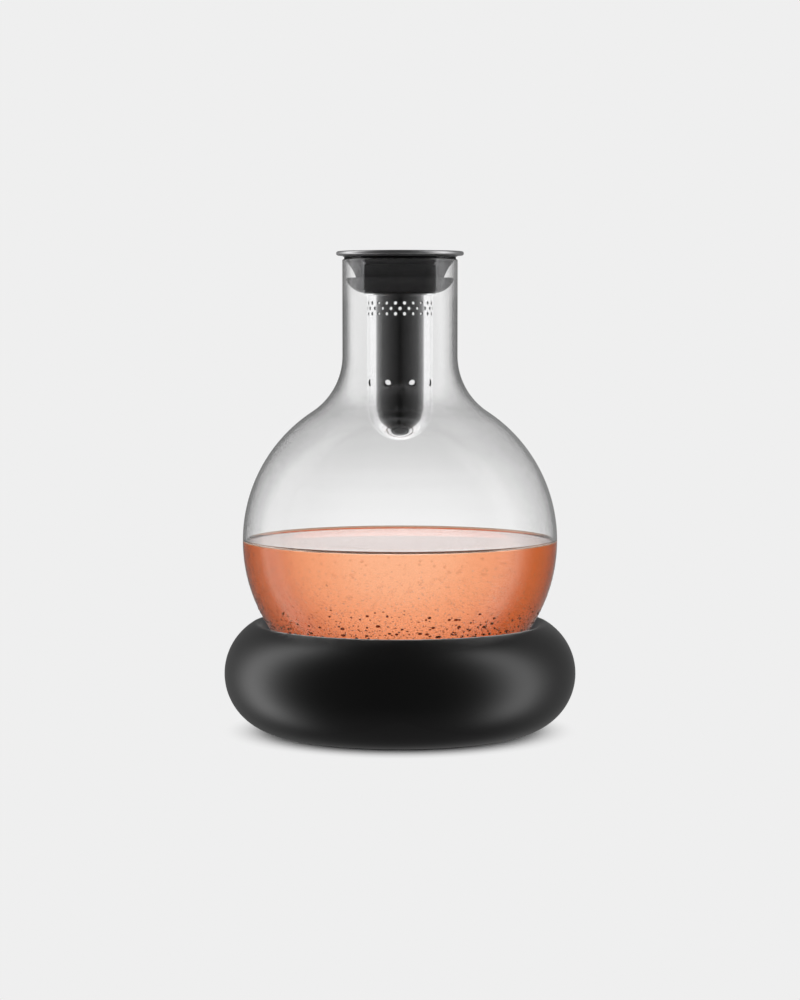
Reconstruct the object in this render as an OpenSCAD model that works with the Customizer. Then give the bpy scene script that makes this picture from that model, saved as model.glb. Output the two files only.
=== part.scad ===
// Glass ball carafe with a drip-free steel pouring head, an ice tube and a cooling base.
// Millimetres, +Z up, origin on the table under the middle of the base.
// The lid's hinge is at the back (+Y) and the drink pours over the front (-Y).

/* [Ball and neck] */
// Outside radius of the glass ball
ball_r = 74; // [68:0.5:80]
// Outside radius of the straight glass neck
neck_r = 27; // [25:0.25:29]
// Thickness of the glass
glass_t = 1.5; // [1:0.1:2]
// Height of the mouth above the centre of the ball
neck_h = 132; // [120:1:145]
// Height above the ball's centre where the neck starts to widen
shoulder_h = 87; // [82:0.5:95]
// Radius of the hollow curve under the neck
shoulder_r = 31.5; // [22:0.5:40]
// Radius where the ball's sphere would cross the level of its foot
stand_r = 29; // [25:0.5:33]
// Rounding between the ball and its flat foot
stand_round = 8; // [5:0.5:10]
// Radius of the pushed-up middle of the ball's foot
punt_r = 20; // [14:0.5:22]
// Height of the pushed-up middle of the ball's foot
punt_h = 2.4; // [1:0.1:3]

/* [Cooling base] */
// Outside diameter of the base
base_w = 165.8; // [158:0.2:174]
// Radius of the rounded side of the base
roll_r = 27.5; // [25:0.5:29]
// Thickness of the base's shells
shell_t = 2.2; // [1.8:0.1:2.6]
// Rounding of the lip round the well
lip_round = 3; // [2.8:0.1:4]
// Air gap between the ball and the well
well_gap = 3; // [2.5:0.1:4]
// Height of the well's floor above the table
floor_h = 19; // [16:0.5:22]
// Length of the well that belongs to the outer shell, in degrees round the ball
lip_turn = 4; // [3:0.5:6]
// Thickness of the well's tongue behind the lip
tongue_t = 1.4; // [1:0.1:1.8]
// Radius of the middle of the rubber ring that the ball sits on
seat_r = 44; // [38:0.5:50]
// Width of the seat ring
seat_w = 6; // [4:0.5:8]
// Depth of the groove that holds the seat ring
seat_groove = 1; // [0.6:0.1:1.2]

/* [Underside of the base] */
// Width of the shell left between the plate and the foot ring
hatch_edge = 2.2; // [1.6:0.1:3]
// Width of the plate's flange under the shell
hatch_flange = 2.8; // [2:0.1:3.2]
// Thickness of the plate's flange
hatch_flange_t = 1; // [0.8:0.1:1.2]
// Distance of the foot ring's middle outside the middle of the rounded side
foot_out = 0.6; // [0:0.1:1.4]
// Width of the foot ring
foot_w = 6; // [4:0.25:6.5]
// Height of the shell above the table
foot_lift = 0.8; // [0.6:0.1:1.2]
// Depth of the foot ring's groove
foot_groove = 1.2; // [0.8:0.1:1.4]
// Number of screws in the underside
screw_count = 3; // [3:1:6]
// Radius of the circle that the screws stand on
screw_circle_r = 22; // [18:0.5:24]
// Radius of a screw's shank
screw_r = 1.5; // [1.2:0.1:1.8]
// Radius of a screw's head
screw_head_r = 2.8; // [2.5:0.1:3.2]
// Height of a screw's head
screw_head_h = 1.1; // [0.8:0.1:1.2]
// Length of a screw's shank
screw_len = 10; // [8:0.5:11]
// Radius of a screw boss
boss_r = 4; // [3.5:0.1:4.5]
// Inner radius of the cooling element
cool_in_r = 31; // [30:0.5:34]
// Air round the cooling element
cool_gap = 0.6; // [0.4:0.1:1]
// Radius of the filling plug's stem
plug_r = 3; // [2.5:0.1:3.5]
// Radius of the filling plug's head
plug_head_r = 4.5; // [4:0.1:5]
// Height of the filling plug's head
plug_head_h = 1.2; // [1:0.1:1.5]
// Length of the filling plug
plug_len = 4; // [3:0.5:5]

/* [Stopper] */
// Depth of the stopper below the mouth
stopper_h = 15.85; // [15:0.05:18]
// Distance that the stopper's flange lies over the glass edge
flange_over = 0.7; // [0.4:0.1:1]
// Thickness of that flange
flange_t = 0.7; // [0.5:0.1:1]
// Depth of the upper sealing band below the mouth
band_h = 1; // [0.6:0.1:1.5]
// Depth of the waist's lower end below the mouth
waist_h = 8.75; // [8:0.05:9.4]
// Thickness of the soft wall at the waist
waist_t = 3.8; // [3:0.1:4.2]
// Height of the rounded edge of the lower sealing lip
lower_edge = 0.7; // [0.5:0.1:1]
// Thickness of the soft web under the core
web_t = 1; // [0.8:0.1:1.4]
// Wall of the hard core round the ice tube's socket
core_t = 0.9; // [0.8:0.1:1.2]

/* [Pouring collar] */
// Distance that the rim stands out past the neck
rim_over = 2.9; // [2.2:0.1:3.6]
// Height of the rim's top above the stopper's flange
rim_h = 2.8; // [2.4:0.1:3.2]
// Radius of the rolled bead round the rim
bead_r = 0.6; // [0.5:0.05:0.7]
// Thickness of the collar's sheet
sheet_t = 0.8; // [0.6:0.1:1]
// Distance from the outside of the neck in to where the rim starts to flare
seat_in = 1; // [0.8:0.1:1.2]
// Height of the cone between the throat and the ledge
cone_h = 3.85; // [3.4:0.05:4.4]

/* [Flip lid] */
// Distance from the foot of the flare in to the lid's edge
lid_in = 1.6; // [1.4:0.1:2]
// Thickness of the lid
lid_t = 0.75; // [0.6:0.05:0.9]
// Height of the lid's crown
lid_crown = 0.3; // [0.1:0.05:0.4]
// Radius of the hinge's knuckles
knuckle_r = 1.1; // [1:0.05:1.2]
// Radius of the hinge pin
pin_r = 0.55; // [0.45:0.05:0.6]
// Half of the length of the lid's own knuckle
knuckle_len = 4.8; // [4:0.1:5]
// Length of each fixed knuckle
ear_len = 3; // [2:0.1:3.2]
// Length of the pin past each fixed knuckle
pin_end = 0.2; // [0.1:0.05:0.3]
// Thickness of the bracket's plate
bracket_t = 0.8; // [0.6:0.1:1]
// Width of the lid's gasket
gasket_w = 1.4; // [1:0.1:1.6]
// Height of the lid's gasket
gasket_h = 0.6; // [0.5:0.05:0.8]
// Radius of the weight that tips the lid open
weight_r = 3.2; // [2.8:0.1:3.4]
// Height of the weight
weight_h = 6.4; // [5:0.1:7]
// Rounding of the weight's edges
weight_round = 0.8; // [0.5:0.1:1.2]
// Gap between the weight and the throat
weight_in = 2.1; // [1.6:0.1:2.6]
// Radius of the rod that carries the weight
rod_r = 1.1; // [0.9:0.1:1.3]
// Length of the rod below the lid
rod_len = 9; // [8:0.1:9.6]
// Depth of the rod in the weight
rod_seat = 3; // [2.4:0.1:4]

/* [Ice tube] */
// Outside radius of the ice tube
tube_r = 15.2; // [14.4:0.1:16]
// Thickness of the ice tube's sheet
tube_t = 0.6; // [0.5:0.05:0.8]
// Length of the ice tube from its flange to its round end
tube_len = 68.8; // [64:0.2:76]
// Distance that the tube's flange stands out
tube_flange = 1.9; // [1.6:0.1:2.2]
// Thickness of the tube's flange
tube_flange_t = 1; // [0.8:0.1:1.2]
// Number of small holes in a row
small_count = 22; // [16:1:24]
// Number of rows of small holes
small_rows = 3; // [2:1:4]
// Radius of a small hole
small_r = 1; // [0.8:0.05:1.1]
// Distance between the rows of small holes
small_pitch = 2.5; // [2.3:0.1:3]
// Depth of the first row below the top of the flange
small_depth = 4.5; // [4.4:0.1:6]
// Number of large holes
large_count = 8; // [6:1:10]
// Radius of a large hole
large_r = 1.7; // [1.4:0.1:2]
// Depth of the large holes below the top of the flange
large_depth = 42; // [36:0.5:46]
// Distance that the plug-in ring stands out past the tube
ring_out = 0.4; // [0.3:0.05:0.5]
// Distance that the plug-in ring stands in past the inside of the tube
ring_in = 0.8; // [0.7:0.05:1]
// Length of the plug-in ring above the flange
ring_h = 4.9; // [4.4:0.1:5]
// Length of the plug-in ring inside the tube
ring_spigot = 2.8; // [2:0.1:3]
// Thickness of the sealing cord on the ring
cord_t = 1.4; // [1.3:0.05:1.5]

/* [Clearances] */
// Gap between two fixed pieces that fit one in the other
snug = 0.05; // [0.02:0.01:0.1]
// Gap between a turning piece and its pin
run_gap = 0.05; // [0.03:0.01:0.1]
// Gap between a piece that lifts off and its flat seat
rest_gap = 0.15; // [0.1:0.01:0.3]
// Gap between the sealing lips and the glass
lip_gap = 0.15; // [0.1:0.01:0.3]
// Gap between the ball and its seat ring
ball_gap = 0.3; // [0.2:0.05:0.4]
// Gap round the plug-in ring in its socket
socket_gap = 0.3; // [0.2:0.05:0.4]
// Gap round the sealing cord in the socket
cord_gap = 0.1; // [0.05:0.01:0.2]
// Gap round the parts of the hinge
hinge_gap = 0.2; // [0.15:0.01:0.25]

/* [Hidden] */

// Facets of a full turn, which exact solids replace by true circles
$fn = 96;
// Turn of one straight piece in a curved stretch of an outline, in degrees, and fewest pieces
bend_a = 5;
bend_least = 6;
// Overrun of a cut past the face that it opens
over = 1;
// Shares of a chord by which the curved stretches of the head stand off it
waist_bow_share = 0.055;
bowl_bow_share = 0.135;
flare_bow_share = 0.08;

// The photograph looks along +Y, and a hole of each even row faces it
front_a = -90;

// Middle of the rounded side, the ball's centre and the levels of the base
ring_r = base_w / 2 - roll_r;
shell_z = foot_lift + shell_t;
foot_r = ring_r + foot_out;
hatch_r = foot_r - foot_w / 2 - hatch_edge - hatch_flange;
plug_circle_r = (cool_in_r + ring_r) / 2;
stand_h = sqrt(ball_r * ball_r - stand_r * stand_r);
foot_z = floor_h + well_gap;
ball_z = foot_z + stand_h;
well_r = ball_r + well_gap;
ball_mid = [0, ball_z];
roll_mid = [ring_r, roll_r];
// Middle of the lip's rounding, which touches the rounded side and the well
lip_mid = meet(roll_mid, roll_r - lip_round, ball_mid, well_r + lip_round);
lip_out_a = angle_of(lip_mid - roll_mid);
lip_in_a = angle_of(ball_mid - lip_mid);
well_top_a = lip_in_a - 180;
seam_a = well_top_a - lip_turn;
well_out_r = well_r + shell_t;
tongue_r = well_out_r + tongue_t;
seat_a = -acos(seat_r / well_r);
seat_half_a = turn_of(seat_w / 2, well_r);
snug_a = turn_of(snug, well_r);

// Levels and radii of the pouring head
mouth_z = ball_z + neck_h;
flange_z = mouth_z + rest_gap;
collar_z = flange_z + flange_t;
ledge_z = collar_z + sheet_t;
rim_z = collar_z + rim_h;
rim_r = neck_r + rim_over;
lip_r = neck_r - glass_t - lip_gap;
flange_r = neck_r - glass_t + flange_over;
collar_r = neck_r - seat_in;
ledge_r = collar_r - sheet_t;
lid_r = collar_r - lid_in;
lid_z = ledge_z + gasket_h + rest_gap;
hinge_y = lid_r - 2 * knuckle_r - hinge_gap;
hinge_z = ledge_z + hinge_gap + knuckle_r;
lid_back = hinge_y - knuckle_r - hinge_gap;
gasket_r = lid_back - hinge_gap;
dish_r = gasket_r - gasket_w - hinge_gap;
throat_r = tube_r - tube_t;
throat_out_r = throat_r + sheet_t;
cone_lean = atan2(dish_r - throat_r, cone_h);
cone_z = ledge_z - cone_h;
cone_out_z = cone_z - sheet_t * tan(cone_lean / 2);
dish_out_r = dish_r + sheet_t * tan(45 - cone_lean / 2);
weight_y = throat_r - weight_r - weight_in;
weight_z = lid_z - rod_len + rod_seat - weight_h;

// Levels and radii of the ice tube and its socket
bottom_z = mouth_z - stopper_h;
tube_z = bottom_z - rest_gap;
tube_in_r = tube_r - tube_t;
tube_flange_r = tube_r + tube_flange;
dome_z = tube_z - tube_len + tube_r;
ring_out_r = tube_r + ring_out;
ring_in_r = tube_in_r - ring_in;
ring_z = tube_z + ring_h;
socket_r = ring_out_r + socket_gap;
socket_z = ring_z + socket_gap;
core_z = bottom_z + web_t;
core_r = socket_r + core_t;
waist_r = core_r + waist_t;
cord_r = cord_t / 2;
cord_mid_r = socket_r - cord_gap - cord_r;
cord_z = tube_z + ring_h / 2;

// Direction of a vector, in degrees
function angle_of(v) = atan2(v[1], v[0]);
// Angle that a length takes up on a circle
function turn_of(length, r) = length / r * 180 / PI;
// Angle on a circle at which it crosses a level
function level_a(mid, r, z) = asin((z - mid[1]) / r);
// Points of an arc round a middle, from one angle to another
function arc(mid, r, a, b) =
    let (n = max(bend_least, ceil(abs(b - a) / bend_a)))
    [for (i = [0:n]) let (t = a + (b - a) * i / n) mid + r * [cos(t), sin(t)]];
// Points of an arc from p to q that stands off its chord, to the left where the share is above 0
function bow(p, q, share) =
    let (chord = norm(q - p), r = chord * (1 + 4 * share * share) / (8 * abs(share)),
         left = sign(share) * [p[1] - q[1], q[0] - p[0]] / chord,
         mid = (p + q) / 2 - left * (r - chord * abs(share)), a = angle_of(p - mid))
    arc(mid, r, a, a - sign(share) * 2 * asin(chord / 2 / r));
// Share by which a low dome stands off the line from its top to its edge
function dome_share(height, r) = tan(atan(height / r) / 2) / 2;
// Outer one of the two points where two circles meet
function meet(m, r, n, s) =
    let (d = norm(n - m), u = (n - m) / d, a = (r * r - s * s + d * d) / (2 * d))
    m + a * u + sqrt(r * r - a * a) * [u[1], -u[0]];
// Outline between two circles round the ball's centre, from one angle to another
function band(r0, r1, a, b) = concat(arc(ball_mid, r0, a, b), arc(ball_mid, r1, b, a));
function flipped(points) = [for (i = [len(points) - 1:-1:0]) points[i]];

// One face of the glass from the middle of the foot to the mouth, at a depth in the glass
function glass_face(depth) =
    let (round_mid = [sqrt(pow(ball_r - stand_round, 2) - pow(stand_h - stand_round, 2)),
                      foot_z + stand_round],
         round_a = angle_of(round_mid - ball_mid),
         lean = 2 * atan((ball_r - neck_r) / shoulder_h),
         dome_r = shoulder_h / sin(lean) - shoulder_r,
         dome_mid = [ball_r - dome_r, ball_z],
         hollow_mid = [neck_r + shoulder_r, ball_z + shoulder_h])
    concat(
        bow([0, foot_z + punt_h + depth], [punt_r, foot_z + depth], dome_share(punt_h, punt_r)),
        arc(round_mid, stand_round - depth, -90, round_a),
        arc(ball_mid, ball_r - depth, round_a, 0),
        arc(dome_mid, dome_r - depth, 0, lean),
        arc(hollow_mid, shoulder_r + depth, 180 + lean, 180));

// Solid made by turning an outline round the axis
module spun(points) rotate_extrude() polygon(points);

// Ring with a square section
module hoop(r_out, r_in, z, h)
    translate([0, 0, z]) difference() {
        cylinder(r = r_out, h = h);
        translate([0, 0, -over]) cylinder(r = r_in, h = h + 2 * over);
    }

module disc(r, z, h) translate([0, 0, z]) cylinder(r = r, h = h);

module at_screws()
    for (i = [0:screw_count - 1])
        rotate(front_a + i * 360 / screw_count) translate([screw_circle_r, 0, 0]) children();

module at_plug() rotate(front_a) translate([plug_circle_r, 0, 0]) children();

module along_x(length) rotate([0, 90, 0]) translate([0, 0, -length / 2]) children();

module base_shell()
    color([0.04, 0.04, 0.04]) difference() {
        spun(concat(
            [[hatch_r, foot_lift]],
            arc(roll_mid, roll_r, level_a(roll_mid, roll_r, foot_lift), lip_out_a),
            arc(lip_mid, lip_round, lip_out_a, lip_in_a),
            arc(ball_mid, well_r, well_top_a, seam_a),
            arc(ball_mid, well_out_r, seam_a, well_top_a),
            arc(lip_mid, lip_round - shell_t, lip_in_a, lip_out_a),
            arc(roll_mid, roll_r - shell_t, lip_out_a,
                level_a(roll_mid, roll_r - shell_t, shell_z)),
            [[hatch_r, shell_z]]));
        hoop(foot_r + foot_w / 2 + snug, foot_r - foot_w / 2 - snug, foot_lift - over,
             foot_groove + over);
        disc(hatch_r + hatch_flange + snug, foot_lift - over, hatch_flange_t + snug + over);
    }

module base_well()
    color([0.06, 0.06, 0.06]) difference() {
        union() {
            spun(concat(
                arc(ball_mid, well_r, seam_a - snug_a, level_a(ball_mid, well_r, floor_h)),
                [[0, floor_h], [0, floor_h - shell_t]],
                arc(ball_mid, well_out_r, level_a(ball_mid, well_out_r, floor_h - shell_t),
                    seam_a - lip_turn),
                arc(ball_mid, tongue_r, seam_a - lip_turn, seam_a + lip_turn / 2),
                arc(ball_mid, well_out_r + snug, seam_a + lip_turn / 2, seam_a - snug_a)));
            at_screws() disc(boss_r, shell_z, floor_h - shell_z - shell_t / 2);
        }
        spun(band(well_r - over, well_r + seat_groove + snug,
                  seat_a - seat_half_a - snug_a, seat_a + seat_half_a + snug_a));
        at_screws() disc(screw_r + snug, shell_z - over,
                         foot_lift + screw_head_h + screw_len - shell_z + 2 * over);
    }

module seat_ring()
    color([0.12, 0.12, 0.12])
        spun(band(ball_r + ball_gap, well_r + seat_groove,
                  seat_a - seat_half_a, seat_a + seat_half_a));

module base_plate()
    color([0.08, 0.08, 0.08]) difference() {
        union() {
            disc(hatch_r + hatch_flange, foot_lift, hatch_flange_t);
            disc(hatch_r - snug, foot_lift, shell_t);
        }
        at_screws() {
            disc(screw_r + snug, foot_lift - over, shell_t + 2 * over);
            disc(screw_head_r + snug, foot_lift - over, screw_head_h + over);
        }
    }

module base_screws()
    color([0.6, 0.6, 0.62]) at_screws() {
        disc(screw_head_r, foot_lift, screw_head_h);
        disc(screw_r, foot_lift, screw_head_h + screw_len);
    }

module foot_ring()
    color([0.1, 0.1, 0.1])
        hoop(foot_r + foot_w / 2, foot_r - foot_w / 2, 0, foot_lift + foot_groove);

module cooling_element()
    color([0.35, 0.5, 0.65]) difference() {
        rotate_extrude() difference() {
            union() {
                translate(roll_mid) circle(r = roll_r - shell_t - cool_gap);
                translate([cool_in_r, shell_z]) square([ring_r - cool_in_r, roll_r - shell_z]);
            }
            translate(ball_mid) circle(r = tongue_r + 2 * cool_gap);
            square([cool_in_r, base_w]);
            square([base_w, shell_z]);
        }
        at_plug() {
            disc(plug_head_r + snug, shell_z - over, plug_head_h + over);
            disc(plug_r + snug, shell_z - over, plug_len + snug + over);
        }
    }

module filling_plug()
    color([0.75, 0.75, 0.78]) at_plug() {
        disc(plug_head_r, shell_z, plug_head_h);
        disc(plug_r, shell_z, plug_len);
    }

module carafe_glass()
    color([0.85, 0.88, 0.88, 0.35]) spun(concat(
        glass_face(0),
        arc([neck_r - glass_t / 2, mouth_z - glass_t / 2], glass_t / 2, 0, 180),
        flipped(glass_face(glass_t))));

module stopper_seal()
    color([0.05, 0.05, 0.05]) spun(concat(
        [[dish_out_r + snug, collar_z], [flange_r, collar_z], [flange_r, flange_z],
         [lip_r, flange_z]],
        bow([lip_r, mouth_z - band_h], [waist_r, mouth_z - waist_h], -waist_bow_share),
        [[lip_r - lower_edge, mouth_z - waist_h]],
        bow([lip_r, mouth_z - waist_h - lower_edge], [tube_flange_r, bottom_z], bowl_bow_share),
        [[socket_r, bottom_z], [socket_r, core_z], [core_r + snug, core_z],
         [core_r + snug, cone_out_z], [throat_out_r + snug, cone_out_z]]));

module stopper_core()
    color([0.15, 0.15, 0.15]) spun([
        [socket_r, core_z], [core_r, core_z], [core_r, cone_out_z],
        [throat_out_r + snug, cone_out_z], [throat_out_r + snug, socket_z],
        [socket_r, socket_z]]);

module pouring_collar()
    color([0.75, 0.75, 0.76]) spun(concat(
        [[throat_r, socket_z], [throat_out_r, socket_z], [throat_out_r, cone_out_z],
         [dish_out_r, collar_z]],
        bow([collar_r, collar_z], [rim_r - bead_r, rim_z - 2 * bead_r], flare_bow_share),
        arc([rim_r - bead_r, rim_z - bead_r], bead_r, -90, 90),
        bow([rim_r - bead_r, rim_z], [ledge_r, ledge_z], -flare_bow_share),
        [[dish_r, ledge_z], [throat_r, cone_z]]));

module lid_gasket()
    color([0.08, 0.08, 0.08]) hoop(gasket_r, gasket_r - gasket_w, ledge_z, gasket_h);

module hinge_bracket()
    color([0.7, 0.7, 0.72]) difference() {
        intersection() {
            disc(ledge_r - hinge_gap, ledge_z, hinge_z + knuckle_r - ledge_z);
            union() {
                translate([-lid_r, hinge_y + knuckle_r + hinge_gap, ledge_z])
                    cube([2 * lid_r, lid_r, bracket_t]);
                for (side = [-1, 1])
                    translate([side * (knuckle_len + hinge_gap + ear_len / 2), hinge_y, hinge_z]) {
                        along_x(ear_len) cylinder(r = knuckle_r, h = ear_len);
                        translate([-ear_len / 2, -knuckle_r, ledge_z - hinge_z])
                            cube([ear_len, 2 * knuckle_r + 2 * hinge_gap, hinge_z - ledge_z]);
                    }
            }
        }
        translate([0, hinge_y, hinge_z])
            along_x(2 * lid_r) cylinder(r = pin_r + snug, h = 2 * lid_r);
    }

module hinge_pin()
    let (length = 2 * (knuckle_len + hinge_gap + ear_len + pin_end))
    color([0.65, 0.65, 0.67]) translate([0, hinge_y, hinge_z])
        along_x(length) cylinder(r = pin_r, h = length);

module flip_lid()
    color([0.78, 0.78, 0.79]) difference() {
        union() {
            difference() {
                spun(concat(
                    [[0, lid_z], [lid_r, lid_z]],
                    bow([lid_r, lid_z + lid_t], [0, lid_z + lid_t + lid_crown],
                        -dome_share(lid_crown, lid_r))));
                translate([-lid_r, lid_back, lid_z - over])
                    cube([2 * lid_r, lid_r, lid_t + lid_crown + 2 * over]);
            }
            translate([-knuckle_len, lid_back - knuckle_r, lid_z])
                cube([2 * knuckle_len, hinge_y - lid_back + knuckle_r, lid_t]);
            translate([0, hinge_y, hinge_z])
                along_x(2 * knuckle_len) cylinder(r = knuckle_r, h = 2 * knuckle_len);
            translate([0, weight_y, lid_z - rod_len]) cylinder(r = rod_r, h = rod_len + lid_t / 2);
        }
        translate([0, hinge_y, hinge_z])
            along_x(2 * lid_r) cylinder(r = pin_r + run_gap, h = 2 * lid_r);
    }

module lid_weight()
    color([0.6, 0.6, 0.62]) translate([0, weight_y, weight_z]) difference() {
        spun(concat(
            [[0, 0]],
            arc([weight_r - weight_round, weight_round], weight_round, -90, 0),
            arc([weight_r - weight_round, weight_h - weight_round], weight_round, 0, 90),
            [[0, weight_h]]));
        translate([0, 0, weight_h - rod_seat]) cylinder(r = rod_r + snug, h = rod_seat + over);
    }

// Holes through one side of the tube's wall, evenly round it
module drill_row(count, r, depth, turn)
    for (i = [0:count - 1])
        rotate(front_a + (i + turn) * 360 / count)
            translate([tube_in_r - over, 0, tube_z - depth])
                rotate([0, 90, 0]) cylinder(r = r, h = tube_t + 2 * over);

module ice_tube()
    color([0.75, 0.76, 0.78]) difference() {
        spun(concat(
            [[tube_in_r, tube_z], [tube_flange_r, tube_z],
             [tube_flange_r, tube_z - tube_flange_t], [tube_r, tube_z - tube_flange_t]],
            arc([0, dome_z], tube_r, 0, -90),
            arc([0, dome_z], tube_in_r, -90, 0)));
        for (row = [0:small_rows - 1])
            drill_row(small_count, small_r, small_depth + row * small_pitch, (row + 1) % 2 / 2);
        drill_row(large_count, large_r, large_depth, 1 / 2);
    }

module tube_ring()
    let (groove_r = cord_mid_r - cord_r - snug, half = cord_r + snug)
    color([0.2, 0.2, 0.2]) spun([
        [ring_in_r, tube_z - ring_spigot], [tube_in_r - snug, tube_z - ring_spigot],
        [tube_in_r - snug, tube_z], [ring_out_r, tube_z],
        [ring_out_r, cord_z - half], [groove_r, cord_z - half],
        [groove_r, cord_z + half], [ring_out_r, cord_z + half],
        [ring_out_r, ring_z], [ring_in_r, ring_z]]);

module tube_cord()
    color([0.06, 0.06, 0.06])
        rotate_extrude() translate([cord_mid_r, cord_z]) circle(r = cord_r, $fn = 32);

base_shell();
base_well();
base_plate();
base_screws();
foot_ring();
seat_ring();
cooling_element();
filling_plug();
carafe_glass();
stopper_seal();
stopper_core();
pouring_collar();
lid_gasket();
hinge_bracket();
hinge_pin();
flip_lid();
lid_weight();
ice_tube();
tube_ring();
tube_cord();
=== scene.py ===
"""Looks of a glass ball carafe with a steel pouring head, an ice tube and a cooling base.

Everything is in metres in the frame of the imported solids: +Z up, the viewer at -Y.
"""

import logging
import math
from collections.abc import Sequence
from dataclasses import dataclass, field
from enum import Enum
from typing import Any

import bpy
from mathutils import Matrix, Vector


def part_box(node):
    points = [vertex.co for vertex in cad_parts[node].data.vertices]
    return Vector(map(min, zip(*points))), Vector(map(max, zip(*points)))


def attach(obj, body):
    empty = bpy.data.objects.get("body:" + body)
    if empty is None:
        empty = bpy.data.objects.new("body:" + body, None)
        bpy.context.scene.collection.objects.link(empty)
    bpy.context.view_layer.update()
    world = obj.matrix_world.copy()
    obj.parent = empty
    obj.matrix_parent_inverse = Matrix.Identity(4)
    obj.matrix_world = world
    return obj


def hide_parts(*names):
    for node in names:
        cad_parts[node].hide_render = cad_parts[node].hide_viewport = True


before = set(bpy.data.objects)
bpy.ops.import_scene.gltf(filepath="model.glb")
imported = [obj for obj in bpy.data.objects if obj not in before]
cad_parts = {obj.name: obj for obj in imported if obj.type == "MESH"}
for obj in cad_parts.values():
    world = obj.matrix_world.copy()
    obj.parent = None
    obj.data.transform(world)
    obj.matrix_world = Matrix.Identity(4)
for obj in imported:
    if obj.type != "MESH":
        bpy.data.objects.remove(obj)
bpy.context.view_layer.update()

LOG = logging.getLogger("carafe")
MM = 0.001
# Outer radii of the glass's ball and neck, and its thickness
BALL_R = 74 * MM
NECK_R = 27 * MM
GLASS_T = 1.5 * MM
# Distance below which two points are one
TINY = 1e-7
# Angle in degrees above which an edge stays sharp
CREASE = 32.0
# Glossy Depth above which light is mirrored
MIRRORED = 0.5

# Painted shade on the glass: its tone from where it faces the eye to its edge, darkening it towards
# its edges
EDGE_SHADE_TONES = ((0.0, 0.985), (0.25, 0.89), (0.38, 0.72), (0.52, 0.59), (0.65, 0.45), (0.8, 0.21),
              (1.0, 0.05))
NECK_SHADE_TONES = ((0.0, 0.985), (0.3, 0.95), (0.42, 0.89), (0.54, 0.75), (0.65, 0.46), (0.75, 0.18),
              (0.85, 0.06), (1.0, 0.03))
# How much of the neck's painted edge shade shows, and how firmly the ball's painted edge shade
# darkens, by height
NECK_SHADE_SHARES = ((90, 0.0), (150, 0.0), (168, 1.0), (200, 1.0), (208, 0.6), (222, 0.6))
EDGE_SHADE_POWERS = ((90, 0.46), (110, 0.44), (125, 0.34), (140, 0.35), (155, 0.56), (222, 0.45))
# Painted shade on the dry glass: its tone by its height in millimetres, from the drink's level to
# the mouth
DRY_SHADE_TONES = ((90.0, 1.0), (92.0, 0.90), (104, 0.885), (114, 0.865), (123, 0.828), (132, 0.79),
             (138, 0.782), (150, 0.812), (168, 0.85), (222, 0.865))

Point = tuple[float, float]
Colour = tuple[float, float, float]
Socket = bpy.types.NodeSocket


def grey(tone: float) -> tuple[float, float, float, float]:
    """A grey as a socket's colour."""
    return (tone, tone, tone, 1.0)


class Slot(Enum):
    """Material slots of the record that the pieces take their finish from."""

    GLASS = "glass"
    STEEL = "polished_steel"
    SILICONE = "silicone"
    BASE = "base_black"
    DRINK = "drink"


class Body(Enum):
    """Bodies that the pieces move with."""

    BASE = "base"
    CARAFE = "carafe"
    STOPPER = "stopper"
    ICE_CORE = "ice_core"


def fitted(piece: bpy.types.Object, body: Body, slot: Slot, *nodes: str) -> None:
    """Ties a finished piece to its body, and hides the solids that it stands for.

    Args:
        piece: The finished piece.
        body: The body that it moves with.
        slot: The record's slot of its finish; not used.
        *nodes: The solids that it replaces, if any.
    """
    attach(piece, body.value)
    if nodes:
        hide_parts(*nodes)
    LOG.info("piece %s: %d faces", piece.name, len(piece.data.polygons))


def dress(node: str, material: bpy.types.Material) -> None:
    """Gives a solid that stays as it is its finish.

    Args:
        node: Name of the solid.
        material: Its material.
    """
    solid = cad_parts[node]
    if not solid.material_slots:
        solid.data.materials.append(material)
    for place in solid.material_slots:
        place.material = material
    LOG.info("solid %s: %s", node, material.name)


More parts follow.
